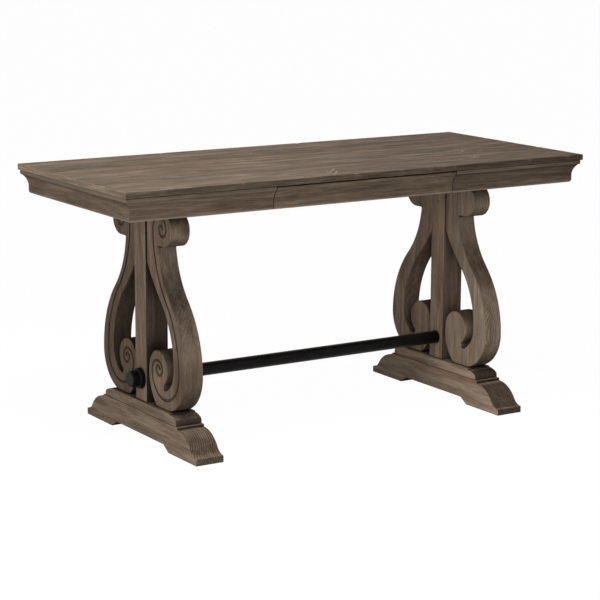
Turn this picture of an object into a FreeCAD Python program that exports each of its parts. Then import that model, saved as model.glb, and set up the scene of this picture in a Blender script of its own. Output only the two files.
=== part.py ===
"""Trestle writing desk with carved S-scroll legs, a moulded apron and one hidden drawer.

Millimetres, +Z up. The origin is on the floor under the middle of the desk, +X is to the right of a person who
faces the desk's front, and the front looks towards -Y.
"""
import FreeCAD, Part
import math
import os
import re

from FreeCAD import Placement, Rotation, Vector

SIZES = {
    # Top and overall
    "desk_length": 1524.0,
    "desk_depth": 660.0,
    "desk_height": 762.0,
    "top_thickness": 17.0,
    "edge_ease": 1.5,
    "fit_clearance": 0.1,
    "cut_overrun": 5.0,
    # Moulded apron
    "apron_height": 67.0,
    "apron_thickness": 20.0,
    "fillet_height": 12.0,
    "fillet_setback": 5.5,
    "fillet_step": 3.0,
    "fillet_round": 2.0,
    "fascia_height": 22.0,
    "fascia_setback": 23.0,
    "apron_round": 8.0,
    # Frame behind the apron
    "drawer_opening": 603.0,
    "bearer_thickness": 18.0,
    "bearer_height": 60.0,
    "block_leg": 60.0,
    "block_height": 40.0,
    # Drawer
    "drawer_gap": 2.5,
    "drawer_board": 12.0,
    "drawer_box_length": 430.0,
    "drawer_box_lift": 10.0,
    "drawer_top_gap": 11.0,
    "drawer_bottom_board": 6.0,
    "drawer_groove_depth": 5.0,
    "drawer_groove_lift": 6.0,
    "front_screw_reach": 26.0,
    # Telescopic slides
    "slide_length": 400.0,
    "slide_travel": 350.0,
    "slide_depth": 12.7,
    "slide_height": 35.0,
    "slide_sheet": 1.2,
    "slide_lip": 2.7,
    "slide_front_gap": 4.0,
    "slide_web_gap": 0.3,
    "slide_screw_inset": 40.0,
    "slide_screw_radius": 1.75,
    "slide_screw_head": 3.5,
    "bearer_screw_reach": 14.0,
    "drawer_screw_reach": 9.0,
    "ball_radius": 1.5,
    "ball_play": 0.05,
    "cage_sheet": 0.6,
    "cage_margin": 5.0,
    # Trestle foot and plinth
    "trestle_inset": 249.0,
    "glide_proud": 1.5,
    "foot_length": 654.0,
    "foot_thickness": 86.0,
    "foot_height": 83.5,
    "foot_shoulder": 10.0,
    "foot_fillet": 7.0,
    "toe_height": 19.0,
    "foot_cut_height": 18.0,
    "foot_cut_length": 282.0,
    "foot_cut_slope": 29.0,
    "plinth_length": 422.0,
    "plinth_thickness": 82.0,
    "plinth_height": 28.0,
    "plinth_nose_length": 37.0,
    "plinth_nose_height": 16.5,
    "plinth_step": 3.2,
    "plinth_ease": 1.4,
    # Post and cleat
    "post_thickness": 70.0,
    "post_width": 64.0,
    "tenon_thickness": 40.0,
    "tenon_width": 36.0,
    "foot_tenon_depth": 40.0,
    "cleat_tenon_depth": 45.0,
    "cleat_height": 81.5,
    "cleat_thickness": 70.0,
    "cleat_end_gap": 78.0,
    # S-scroll, measured out from the post's middle and up from the plinth or down from the cleat
    "scroll_thickness": 58.0,
    "scroll_reach": 241.0,
    "bowl_height": 110.0,
    "bowl_radius": 113.0,
    "bowl_inner_reach": 179.0,
    "bowl_inner_height": 123.0,
    "crescent_radius": 75.0,
    "crescent_tip_radius": 9.5,
    "heel_radius": 117.0,
    "lower_volute_reach": 91.0,
    "lower_volute_radius": 51.5,
    "upper_volute_reach": 125.5,
    "upper_volute_radius": 47.0,
    "neck_reach": 95.0,
    "neck_relief": 3.0,
    "post_joint_length": 148.5,
    # Carved groove on the scroll's outer face
    "groove_radius": 4.0,
    "groove_depth": 3.0,
    "groove_inset": 31.0,
    "groove_heel_radius": 72.0,
    "groove_turn_radius": 34.0,
    "groove_inner_radius": 25.0,
    "groove_eye_radius": 17.0,
    "groove_neck_reach": 68.0,
    "groove_top_inset": 11.0,
    "groove_over_radius": 40.0,
    "groove_down_radius": 34.5,
    "groove_high_eye_radius": 20.0,
    "groove_button_radius": 10.0,
    # Trestle fasteners
    "dowel_radius": 5.0,
    "dowel_length": 50.0,
    "foot_screw_offset": 22.0,
    "foot_screw_reach": 100.0,
    "foot_screw_bore": 22.0,
    "foot_screw_cover": 10.0,
    "wood_screw_radius": 2.5,
    "wood_screw_head": 5.0,
    "wood_screw_head_height": 3.0,
    "block_screw_grip": 10.0,
    "glide_radius": 11.0,
    "glide_height": 5.0,
    "glide_pin_radius": 1.5,
    "glide_pin_length": 12.0,
    "glide_inset": 12.0,
    "bolt_radius": 3.0,
    "bolt_head": 5.0,
    "bolt_head_height": 6.0,
    "bolt_bore": 30.0,
    "bolt_engagement": 10.0,
    "bolt_offset": 20.0,
    "bolt_inset": 42.0,
    "bore_clearance": 1.5,
    "insert_radius": 5.0,
    "insert_length": 11.0,
    # Stretcher
    "stretcher_height": 178.5,
    "tube_radius": 19.0,
    "tube_wall": 2.0,
    "tube_socket": 12.0,
    "plug_length": 30.0,
    "stud_radius": 5.0,
    "stud_in_plug": 20.0,
    "stud_in_cap": 26.0,
    "collar_radius": 29.0,
    "collar_length": 15.0,
    "nose_radius": 23.5,
    "nose_length": 22.0,
    "cap_chamfer": 2.5,
}

# Levels and lengths that follow from the sizes
PLACES = {
    "top_underside": "desk_height - top_thickness",
    "apron_bottom": "top_underside - apron_height",
    "apron_back": "fascia_setback + apron_thickness",
    "frame_half_length": "desk_length / 2 - apron_back",
    "frame_half_depth": "desk_depth / 2 - apron_back",
    "bearer_side": "drawer_opening / 2",
    "drawer_front_top": "top_underside - drawer_gap",
    "box_side": "bearer_side - slide_depth",
    "box_inside": "box_side - drawer_board",
    "drawer_box_height": "apron_height - drawer_box_lift - drawer_top_gap",
    "box_bottom": "apron_bottom + drawer_box_lift",
    "box_front": "-frame_half_depth",
    "box_back": "box_front + drawer_box_length",
    "slide_level": "box_bottom + drawer_box_height / 2",
    "slide_front": "box_front + slide_front_gap",
    "slide_middle": "slide_front + slide_length / 2",
    "flange_end": "slide_depth - slide_lip",
    "outer_cage_web": "slide_sheet + slide_web_gap",
    "middle_web": "outer_cage_web + cage_sheet + slide_web_gap",
    "inner_cage_web": "middle_web + slide_sheet + slide_web_gap",
    "inner_flange": "inner_cage_web + cage_sheet + slide_web_gap",
    "ball_line": "inner_flange + ball_radius",
    "outer_half": "slide_height / 2",
    "outer_ball": "outer_half - slide_sheet - ball_play - ball_radius",
    "middle_half": "outer_ball - ball_radius - ball_play",
    "inner_ball": "middle_half - slide_sheet - ball_play - ball_radius",
    "inner_half": "inner_ball - ball_radius - ball_play",
    "outer_cage_half": "outer_ball + cage_sheet / 2",
    "inner_cage_half": "inner_ball + cage_sheet / 2",
    "cage_length": "slide_length - slide_travel / 2 - 2 * cage_margin",
    "cage_front": "slide_front + slide_travel / 4 + cage_margin",
    "cage_middle": "cage_front + cage_length / 2",
    "trestle_centre": "desk_length / 2 - trestle_inset",
    "foot_top": "glide_proud + foot_height",
    "plinth_top": "foot_top + plinth_height",
    "cleat_bottom": "top_underside - cleat_height",
    "post_height": "cleat_bottom - plinth_top",
    "tenon_bottom": "foot_top - foot_tenon_depth",
    "tenon_length": "foot_tenon_depth + plinth_height + post_height + cleat_tenon_depth",
    "tube_half": "trestle_centre - post_thickness / 2 + tube_socket",
    "post_outside": "trestle_centre + post_thickness / 2",
    "cleat_length": "2 * (frame_half_depth - cleat_end_gap)",
    "bolt_seat": "cleat_bottom + bolt_bore",
    "bolt_reach": "cleat_length / 2 - bolt_inset",
    "foot_screw_seat": "glide_proud + foot_cut_height + foot_screw_bore",
    "glide_inner_reach": "foot_cut_length / 2 + foot_cut_slope + glide_inset + glide_radius",
    "glide_outer_reach": "foot_length / 2 - glide_inset - glide_radius",
}

# How the S-scroll's stem divides between its two arcs, and the lean at the end of each edge, in degrees
STEM_OUTER_SHARE = 0.525
STEM_INNER_SHARE = 0.313
GROOVE_STEM_SHARE = 0.5
STEM_OUTER_LEAN = 6.4
STEM_INNER_LEAN = 31.0
HEEL_TURN = 15.2
FOOT_TOE_SHARE = 0.3
PLINTH_NOSE_TURN = 60.0
MITRE_ANGLE = 45.0

# Where fasteners sit along what they hold
BLOCK_SCREW_SHARE = 0.36
FRONT_SCREW_SHARES = (-0.8, -0.27, 0.27, 0.8)
POST_DOWEL_SHARES = (0.3, 0.7)
BALLS_IN_ROW = 5

doc = FreeCAD.newDocument("writing_desk")
sheet = doc.addObject("Spreadsheet::Sheet", "sizes")
blanks = {}
cuts = {}


def fill_sheet():
    """Writes the sizes as numbers and the places as sums of them, each under its own name."""
    cells = {name: str(number) for name, number in SIZES.items()}
    cells.update({name: "=" + sum_text for name, sum_text in PLACES.items()})
    for row, (name, content) in enumerate(cells.items(), start=1):
        sheet.set(f"A{row}", name)
        sheet.set(f"B{row}", content)
        sheet.setAlias(f"B{row}", name)
    doc.recompute()


def cell(name):
    """A size or place as a number."""
    return float(sheet.get(name))


def bound(text):
    """The same sum with each size's name led by the sheet's name."""
    def lead(match):
        word = match.group()
        return f"sizes.{word}" if word in SIZES or word in PLACES else word
    return re.sub(r"[a-z_]+", lead, str(text))


def bind(item, **sums):
    """Ties properties of an object to sums of the sheet's sizes."""
    for name, text in sums.items():
        item.setExpression(name, bound(text))
    return item


def place(item, x=0, y=0, z=0, turn=None):
    """Turns an object, then ties its position to sums of the sheet's sizes."""
    if turn is not None:
        item.Placement = Placement(Vector(), turn)
    for axis, text in zip("xyz", (x, y, z)):
        item.setExpression(f"Placement.Base.{axis}", bound(text))
    return item


def piece(label, item):
    """Keeps a sub-part under its name until its holes are known."""
    blanks[label] = item
    cuts[label] = []


def pierce(tool, *labels):
    """Notes a hole or socket that passes into the named sub-parts."""
    for label in labels:
        cuts[label].append(tool)


# Plain solids

TURNS = {
    "+X": Rotation(Vector(0, 1, 0), 90),
    "-X": Rotation(Vector(0, 1, 0), -90),
    "+Y": Rotation(Vector(1, 0, 0), -90),
    "-Y": Rotation(Vector(1, 0, 0), 90),
    "+Z": Rotation(),
}


def box(name, low, extent):
    """A plain box from its low corner and its three lengths."""
    item = doc.addObject("Part::Box", name)
    bind(item, Length=extent[0], Width=extent[1], Height=extent[2])
    return place(item, *low)


def cylinder(name, axis, start, radius, length):
    """A round bar that starts at a point and runs along a signed axis."""
    item = doc.addObject("Part::Cylinder", name)
    bind(item, Radius=radius, Height=length)
    return place(item, *start, turn=TURNS[axis])


def along(axis, start, offset):
    """The point at an offset from another along a signed axis."""
    moved = list(start)
    moved["XYZ".index(axis[1])] = f"{start['XYZ'.index(axis[1])]} {axis[0]} ({offset})"
    return moved


def bore(name, axis, start, radius, length):
    """The hole that a round bar fits, larger than it all round by the fit clearance."""
    grown = f"{length} + 2 * fit_clearance"
    return cylinder(name, axis, along(axis, start, "-fit_clearance"), f"{radius} + fit_clearance", grown)


def group(name, items):
    """Separate solids held as one object."""
    item = doc.addObject("Part::Compound", name)
    item.Links = items
    return item


def fuse(name, items):
    item = doc.addObject("Part::MultiFuse", name)
    item.Shapes = items
    return item


def cut(name, base, tool):
    item = doc.addObject("Part::Cut", name)
    item.Base = base
    item.Tool = tool
    return item


# Sketched bodies

def new_body(name):
    return doc.addObject("PartDesign::Body", f"{name}_body")


def sketch_on(body, role, geometry, offset=0):
    """A sketch of ready-made lines and arcs on one of the body's origin planes, or at an offset from it."""
    sketch = body.newObject("Sketcher::SketchObject", f"{body.Name}_sketch")
    plane = next(item for item in body.Origin.OriginFeatures if item.Role == role)
    sketch.AttachmentSupport = [(plane, "")]
    sketch.MapMode = "FlatFace"
    sketch.setExpression("AttachmentOffset.Base.z", bound(offset))
    sketch.addGeometry(geometry, False)
    return sketch


def pad(body, role, runs, length, middle=True):
    """A sketched outline raised to a length, to both sides of its plane or to one."""
    feature = body.newObject("PartDesign::Pad", f"{body.Name}_pad")
    feature.Profile = sketch_on(body, role, drawn(runs))
    feature.SideType = "Symmetric" if middle else "One side"
    bind(feature, Length=length)
    doc.recompute()
    return feature


def ease(body, feature, radius):
    """Rounds all edges of a feature."""
    rounded = body.newObject("PartDesign::Fillet", f"{body.Name}_ease")
    rounded.Base = (feature, [""])
    rounded.UseAllEdges = True
    bind(rounded, Radius=radius)
    doc.recompute()
    return rounded


def board(name, low, extent):
    """A rectangular board with eased edges."""
    body = new_body(name)
    block = body.newObject("PartDesign::AdditiveBox", f"{name}_block")
    bind(block, Length=extent[0], Width=extent[1], Height=extent[2])
    doc.recompute()
    ease(body, block, "edge_ease")
    return place(body, *low)


def point(across, up):
    return Vector(across, up, 0)


def round_point(centre, radius, angle):
    """The point of a circle at an angle in degrees."""
    return centre + point(math.cos(math.radians(angle)), math.sin(math.radians(angle))) * radius


def arc(centre, radius, start_angle, end_angle):
    """An arc as the run of its first, middle and last points, whichever way it turns."""
    middle_angle = (start_angle + end_angle) / 2
    return tuple(round_point(centre, radius, angle) for angle in (start_angle, middle_angle, end_angle))


def line(start, end):
    return start, end


def outline(points):
    """Straight runs through a closed row of points."""
    return [line(start, end) for start, end in zip(points, points[1:] + points[:1])]


def backwards(runs):
    return [run[::-1] for run in runs[::-1]]


def mirrored(runs):
    """The same runs on the other side of the upright axis."""
    return [tuple(point(-place_on.x, place_on.y) for place_on in run) for run in runs]


def symmetric(half):
    """Closes a right-hand half outline with its mirror image."""
    other = mirrored(backwards(half))
    return half + [line(half[-1][-1], other[0][0])] + other + [line(other[-1][-1], half[0][0])]


def drawn(runs):
    """Lines and arcs for a sketch: a run of two points is a line, one of three an arc."""
    return [Part.LineSegment(*run) if len(run) == 2 else Part.Arc(*run) for run in runs]


def ogee(start, end, ahead, aside, first_share, lean):
    """Two arcs that leave start along ahead, bend aside, bend back and reach end at a lean from ahead.

    The first arc's radius is first_share of the sum of both radii.
    """
    second_share = 1 - first_share
    run = (end - start).dot(ahead)
    drift = (end - start).dot(aside)
    slope = drift / run
    lean = math.radians(lean)
    level = first_share + second_share * (math.cos(lean) + slope * math.sin(lean))
    turn = math.atan(slope) + math.acos(level / math.hypot(1, slope))
    radii = run / (math.sin(turn) - second_share * math.sin(lean))
    first = first_share * radii
    second = second_share * radii

    def on_first(angle):
        return start + ahead * (first * math.sin(angle)) + aside * (first * (1 - math.cos(angle)))

    def on_second(angle):
        back = radii * math.sin(turn) - second * math.sin(angle)
        over = first * (1 - math.cos(turn)) + second * (math.cos(angle) - math.cos(turn))
        return start + ahead * back + aside * over

    return [
        (start, on_first(turn / 2), on_first(turn)),
        (on_first(turn), on_second((turn + lean) / 2), end),
    ]


# Top and moulded apron

def moulding(top):
    """The apron's section, inwards from the top's edge and up, closed at its inner face."""
    fillet_bottom = cell("top_underside") - cell("fillet_height")
    fascia_top = cell("apron_bottom") + cell("fascia_height")
    fillet, fascia, back = cell("fillet_setback"), cell("fascia_setback"), cell("apron_back")
    bottom, round_radius = cell("apron_bottom"), cell("apron_round")
    lip_radius = cell("fillet_round")
    cove_start = point(fillet + cell("fillet_step"), fillet_bottom)
    cove_depth, cove_height = fascia - cove_start.x, fascia_top - fillet_bottom
    cove_radius = (cove_depth ** 2 + cove_height ** 2) / (2 * cove_depth)
    cove_centre = point(fascia - cove_radius, fascia_top)
    cove_angle = math.degrees(math.asin(-cove_height / cove_radius))
    round_centre = point(fascia + round_radius, bottom + round_radius)
    return [
        line(point(back, top), point(fillet + lip_radius, top)),
        arc(point(fillet + lip_radius, top - lip_radius), lip_radius, 90, 180),
        line(point(fillet, top - lip_radius), point(fillet, fillet_bottom)),
        line(point(fillet, fillet_bottom), cove_start),
        arc(cove_centre, cove_radius, cove_angle, 0),
        line(point(fascia, fascia_top), point(fascia, bottom + round_radius)),
        arc(round_centre, round_radius, 180, 270),
        line(point(fascia + round_radius, bottom), point(back, bottom)),
        line(point(back, bottom), point(back, top)),
    ]


def mitre(body, corner, sign):
    """Cuts a rail's end at the mitre angle, from its outer corner inwards."""
    depth = cell("apron_back") + cell("cut_overrun")
    shift = depth / math.tan(math.radians(MITRE_ANGLE))
    overrun = cell("cut_overrun")
    start = point(corner, 0)
    waste = [
        start,
        start + point(sign * shift, depth),
        start + point(-sign * overrun, depth),
        start + point(-sign * overrun, 0),
    ]
    pocket = body.newObject("PartDesign::Pocket", f"{body.Name}_mitre")
    pocket.Profile = sketch_on(body, "XY_Plane", drawn(outline(waste)))
    pocket.Type = "ThroughAll"
    pocket.SideType = "Symmetric"
    doc.recompute()
    return pocket


def rail(name, length, mitred, top="top_underside"):
    """A length of moulding along X from 0, its outer side towards -Y, mitred at the named ends."""
    body = new_body(name)
    pad(body, "YZ_Plane", moulding(cell(top)), length, middle=False)
    if "left" in mitred:
        mitre(body, 0, 1)
    if "right" in mitred:
        mitre(body, body.Shape.BoundBox.XMax, -1)
    return body


SIDES = {"left": "-", "right": "+"}
QUARTER_TURNS = {("left", "front"): 0, ("right", "front"): 90, ("right", "back"): 180, ("left", "back"): 270}


def upright(degrees):
    return Rotation(Vector(0, 0, 1), degrees)


def make_top():
    low = ("-desk_length / 2", "-desk_depth / 2", "top_underside")
    piece("top_panel", board("top_panel", low, ("desk_length", "desk_depth", "top_thickness")))


def make_aprons():
    half_length = "desk_length / 2"
    half_depth = "desk_depth / 2"
    front_length = f"{half_length} - bearer_side"
    left_front = rail("front_left_apron", front_length, ["left"])
    piece("front_left_apron", place(left_front, f"-{half_length}", f"-{half_depth}"))
    right_front = rail("front_right_apron", front_length, ["right"])
    piece("front_right_apron", place(right_front, "bearer_side", f"-{half_depth}"))
    back = rail("back_apron", "desk_length", ["left", "right"])
    piece("back_apron", place(back, half_length, half_depth, turn=upright(180)))
    left = rail("left_apron", "desk_depth", ["left", "right"])
    piece("left_apron", place(left, f"-{half_length}", half_depth, turn=upright(-90)))
    right = rail("right_apron", "desk_depth", ["left", "right"])
    piece("right_apron", place(right, half_length, f"-{half_depth}", turn=upright(90)))


# Fasteners

def screw(name, axis, seat, reach, kind, sunk, *labels):
    """A headed screw or bolt whose head ends at its seat, its hole through the named sub-parts, and its head's bore.

    The bore runs back from the seat by the sunk length, or is left out for a head that stands on a face.
    """
    head_length = f"{kind}_head_height"
    back = along(axis, seat, f"-{head_length}")
    shank = cylinder(f"{name}_shank", axis, seat, f"{kind}_radius", reach)
    head = cylinder(f"{name}_head", axis, back, f"{kind}_head", head_length)
    hole = bore(f"{name}_hole", axis, seat, f"{kind}_radius", reach)
    pierce(hole, *labels)
    if sunk:
        start = along(axis, seat, f"-({sunk})")
        pierce(cylinder(f"{name}_bore", axis, start, f"{kind}_head + bore_clearance", sunk), labels[0])
    return fuse(name, [shank, head])


def dowel(name, axis, start, length, *labels):
    """A round peg and its hole through the named sub-parts."""
    pierce(bore(f"{name}_hole", axis, start, "dowel_radius", length), *labels)
    return cylinder(name, axis, start, "dowel_radius", length)


# Frame behind the apron

def make_frame():
    screws = []
    leg = cell("block_leg")
    corner = outline([point(0, 0), point(leg, 0), point(0, leg)])
    for (side, end), turn in QUARTER_TURNS.items():
        label = f"{end}_{side}_corner_block"
        body = new_body(label)
        pad(body, "XY_Plane", corner, "block_height", middle=False)
        across = f"{SIDES[side]}(frame_half_length - {{}})"
        deep = f"{'-' if end == 'front' else '+'}(frame_half_depth - {{}})"
        under = "top_underside - block_height"
        piece(label, place(body, across.format(0), deep.format(0), under, turn=upright(turn)))
        inset = f"block_leg * {BLOCK_SCREW_SHARE}"
        seat = (across.format(inset), deep.format(inset), under)
        reach = "block_height + block_screw_grip"
        screws.append(screw(f"{label}_screw", "+Z", seat, reach, "wood_screw", None, label, "top_panel"))
    piece("corner_block_screws", group("corner_block_screws_group", screws))
    extent = ("bearer_thickness", "2 * frame_half_depth", "bearer_height")
    for side, low in (("left", "-bearer_side - bearer_thickness"), ("right", "bearer_side")):
        label = f"{side}_bearer"
        piece(label, board(label, (low, "-frame_half_depth", "top_underside - bearer_height"), extent))


# Drawer

def make_drawer():
    width = "drawer_opening - 2 * drawer_gap"
    front = rail("drawer_front", width, [], "drawer_front_top")
    piece("drawer_front", place(front, "-bearer_side + drawer_gap", "-desk_depth / 2"))
    side_extent = ("drawer_board", "drawer_box_length", "drawer_box_height")
    for side, low in (("left", "-box_side"), ("right", "box_inside")):
        label = f"drawer_{side}_side"
        piece(label, board(label, (low, "box_front", "box_bottom"), side_extent))
    end_extent = ("2 * box_inside", "drawer_board", "drawer_box_height")
    for label, low in (("drawer_box_front", "box_front"), ("drawer_back", "box_back - drawer_board")):
        piece(label, board(label, ("-box_inside", low, "box_bottom"), end_extent))
    make_drawer_bottom()
    screws = []
    for number, share in enumerate(FRONT_SCREW_SHARES, start=1):
        seat = (f"box_inside * {share}", "box_front + drawer_board", "slide_level")
        labels = ("drawer_box_front", "drawer_front")
        screws.append(screw(f"front_screw_{number}", "-Y", seat, "front_screw_reach", "wood_screw", None, *labels))
    piece("drawer_front_screws", group("drawer_front_screws_group", screws))


def make_drawer_bottom():
    """The bottom panel, and the groove round the inside of the box that holds its edges."""
    rim = "drawer_board - drawer_groove_depth"
    low = ("-box_side + {0}", "box_front + {0}", "box_bottom + drawer_groove_lift")
    low = [text.format(rim) for text in low]
    extent = (f"2 * (box_side - ({rim}))", f"drawer_box_length - 2 * ({rim})", "drawer_bottom_board")
    piece("drawer_bottom", board("drawer_bottom", low, extent))
    groove_low = [f"{text} - fit_clearance" for text in low]
    groove_extent = [f"{text} + 2 * fit_clearance" for text in extent]
    groove = box("drawer_groove", groove_low, groove_extent)
    pierce(groove, "drawer_left_side", "drawer_right_side", "drawer_box_front", "drawer_back")


# Telescopic slides

def channel(name, side, half, web, end, gauge, length, middle):
    """A channel along Y: its web faces the bearer at web, or faces the drawer where web lies beyond end."""
    inward = -1 if side == "right" else 1
    web_inside = web + math.copysign(gauge, end - web)
    corners = [(web, -half), (end, -half), (end, gauge - half), (web_inside, gauge - half)]
    corners += [(across, -up) for across, up in corners[::-1]]
    body = new_body(name)
    pad(body, "XZ_Plane", outline([point(inward * across, up) for across, up in corners]), length)
    return place(body, f"{SIDES[side]}bearer_side", middle, "slide_level")


def cage(label, side, kind):
    """A ball cage: a thin channel with a row of balls held in each flange."""
    half = cell(f"{kind}_cage_half")
    web = cell(f"{kind}_cage_web")
    strip = channel(label, side, half, web, cell("flange_end"), cell("cage_sheet"), "cage_length", "cage_middle")
    balls = []
    for number in range(BALLS_IN_ROW):
        for level, sign in (("upper", "+"), ("lower", "-")):
            item = doc.addObject("Part::Sphere", f"{label}_{level}_ball_{number + 1}")
            bind(item, Radius="ball_radius")
            inward = "-" if side == "right" else "+"
            across = f"{SIDES[side]}bearer_side {inward} ball_line"
            row = f"cage_front + cage_length * {(number + 0.5) / BALLS_IN_ROW}"
            balls.append(place(item, across, row, f"slide_level {sign} {kind}_ball"))
    piece(label, fuse(f"{label}_fuse", [strip] + balls))


def flush_screws(name, side, outwards, start, reach, *labels):
    """Countersunk screws whose heads fill the thickness of a slide's web, and their holes."""
    axis = f"{SIDES[side] if outwards else SIDES['right' if side == 'left' else 'left']}X"
    inward = "-" if side == "right" else "+"
    screws = []
    for number, row in enumerate(("slide_front + slide_screw_inset", "slide_middle",
                                  "slide_front + slide_length - slide_screw_inset"), start=1):
        seat = [f"{SIDES[side]}bearer_side {inward} ({start})", row, "slide_level"]
        web_end = along(axis, seat, "slide_sheet")
        solids = []
        for fit, clearance in (("screw", "0"), ("hole", "fit_clearance")):
            sink = doc.addObject("Part::Cone", f"{name}_{number}_{fit}_sink")
            bind(sink, Radius1=f"slide_screw_head + {clearance}", Radius2=f"slide_screw_radius + {clearance}")
            bind(sink, Height="slide_sheet")
            place(sink, *seat, turn=TURNS[axis])
            shank = cylinder(f"{name}_{number}_{fit}_shank", axis, web_end,
                             f"slide_screw_radius + {clearance}", f"{reach} + {clearance}")
            solids.append(fuse(f"{name}_{number}_{fit}", [sink, shank]))
        screws.append(solids[0])
        pierce(solids[1], *labels)
    return screws


def make_slides():
    bearer_screws = []
    drawer_screws = []
    for side in SIDES:
        outer = f"{side}_slide_outer"
        middle = f"{side}_slide_middle"
        inner = f"{side}_slide_inner"
        rolled = (cell("slide_sheet"), "slide_length", "slide_middle")
        lip = cell("flange_end")
        piece(outer, channel(outer, side, cell("outer_half"), 0, lip, *rolled))
        cage(f"{side}_slide_outer_cage", side, "outer")
        piece(middle, channel(middle, side, cell("middle_half"), cell("middle_web"), lip, *rolled))
        cage(f"{side}_slide_inner_cage", side, "inner")
        inner_web = cell("slide_depth")
        piece(inner, channel(inner, side, cell("inner_half"), inner_web, cell("inner_flange"), *rolled))
        bearer_screws += flush_screws(f"{side}_bearer_screw", side, True, "slide_sheet", "bearer_screw_reach",
                                      outer, f"{side}_bearer")
        drawer_screws += flush_screws(f"{side}_drawer_screw", side, False, "slide_depth - slide_sheet",
                                      "drawer_screw_reach", inner, f"drawer_{side}_side")
    piece("slide_bearer_screws", group("slide_bearer_screws_group", bearer_screws))
    piece("slide_drawer_screws", group("slide_drawer_screws_group", drawer_screws))


# Trestles, each drawn as the left one and turned about for the right

def foot_runs():
    """The foot seen along X: toes with an ogee up to a fillet round the shoulder, and a cut-out underneath."""
    bottom = cell("glide_proud")
    toe = cell("foot_length") / 2
    toe_top = point(toe, bottom + cell("toe_height"))
    shoulder = point(cell("plinth_length") / 2 + cell("foot_shoulder"), cell("foot_top"))
    ogee_top = shoulder - point(0, cell("foot_fillet"))
    cut_top = point(cell("foot_cut_length") / 2, bottom + cell("foot_cut_height"))
    cut_end = point(cut_top.x + cell("foot_cut_slope"), bottom)
    half = [line(cut_top, cut_end), line(cut_end, point(toe, bottom)), line(point(toe, bottom), toe_top)]
    half += ogee(toe_top, ogee_top, Vector(-1, 0, 0), Vector(0, 1, 0), FOOT_TOE_SHARE, 0)
    half.append(line(ogee_top, shoulder))
    return symmetric(half)


def plinth_runs():
    """The plinth seen along X: each end rounds over in a tight arc and then a wide one, up to a small step."""
    low = point(cell("plinth_length") / 2, cell("foot_top"))
    rise = cell("plinth_nose_height")
    run = cell("plinth_nose_length")
    ledge = point(low.x - run, cell("plinth_top") - cell("plinth_step"))
    spring = point(low.x, ledge.y - rise)
    ratio = math.tan(math.radians((90 - PLINTH_NOSE_TURN) / 2))
    tight = (rise - run * ratio) / (1 - ratio)
    wide = tight + (run - tight) / math.cos(math.radians(PLINTH_NOSE_TURN))
    tight_centre = spring - point(tight, 0)
    wide_centre = round_point(tight_centre, tight - wide, PLINTH_NOSE_TURN)
    half = [
        line(low, spring),
        arc(tight_centre, tight, 0, PLINTH_NOSE_TURN),
        arc(wide_centre, wide, PLINTH_NOSE_TURN, 90),
        line(ledge, point(ledge.x, cell("plinth_top"))),
    ]
    return symmetric(half)


def scroll_runs():
    """The S-scroll's outline, out from the post's middle and up, from the plinth round to the plinth."""
    low = cell("plinth_top")
    high = cell("cleat_bottom")
    up = Vector(0, 1, 0)
    towards_post = Vector(-1, 0, 0)
    post_face = cell("post_width") / 2

    bowl = cell("bowl_radius")
    bowl_centre = point(cell("scroll_reach") - bowl, low + cell("bowl_height"))
    bowl_angle = math.degrees(math.asin(cell("bowl_height") / bowl))
    bowl_side = point(cell("scroll_reach"), bowl_centre.y)
    outer = [arc(bowl_centre, bowl, -bowl_angle, 0)]

    curl = cell("upper_volute_radius")
    curl_centre = point(cell("upper_volute_reach"), high - curl)
    crease = cell("neck_relief")
    crease_centre = point(cell("neck_reach") + crease, curl_centre.y - curl - crease)
    neck = crease_centre - point(crease, 0)
    outer += ogee(bowl_side, neck, up, towards_post, STEM_OUTER_SHARE, STEM_OUTER_LEAN)
    outer += [
        arc(crease_centre, crease, 180, 90),
        line(crease_centre + point(0, crease), curl_centre - point(0, curl)),
        arc(curl_centre, curl, -90, 90),
        line(curl_centre + point(0, curl), point(post_face, high)),
    ]

    joint = point(post_face, high - cell("post_joint_length"))
    hollow = cell("crescent_radius")
    inner_side = point(cell("bowl_inner_reach"), low + cell("bowl_inner_height"))
    hollow_centre = inner_side - point(hollow, 0)
    inner = [line(point(post_face, high), joint)]
    inner += backwards(ogee(inner_side, joint, up, towards_post, STEM_INNER_SHARE, STEM_INNER_LEAN))

    disc = cell("lower_volute_radius")
    disc_centre = point(cell("lower_volute_reach"), bowl_centre.y)
    tip = cell("crescent_tip_radius")
    tip_centre = lower_meeting(disc_centre, disc + tip, hollow_centre, hollow - tip)
    hollow_angle = bearing(hollow_centre, tip_centre)
    tip_angle = bearing(disc_centre, tip_centre)
    disc_end = 180 - HEEL_TURN
    heel = cell("heel_radius")
    heel_centre = round_point(disc_centre, heel - disc, -HEEL_TURN)
    heel_angle = 180 + math.degrees(math.asin((heel_centre.y - low) / heel))
    inner += [
        arc(hollow_centre, hollow, 0, hollow_angle),
        arc(tip_centre, tip, hollow_angle, tip_angle - 180),
        arc(disc_centre, disc, tip_angle, disc_end),
        arc(heel_centre, heel, disc_end, heel_angle),
    ]
    return [line(inner[-1][-1], outer[0][0])] + outer + inner


def bearing(start, end):
    """The angle in degrees of the way from one point to another."""
    return math.degrees(math.atan2(end.y - start.y, end.x - start.x))


def lower_meeting(first, first_radius, second, second_radius):
    """The lower of the two points where two circles cross."""
    apart = (second - first).Length
    ahead = (second - first) / apart
    reach = (first_radius ** 2 - second_radius ** 2 + apart ** 2) / (2 * apart)
    aside = math.sqrt(first_radius ** 2 - reach ** 2)
    return first + ahead * reach + point(ahead.y, -ahead.x) * aside


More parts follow.
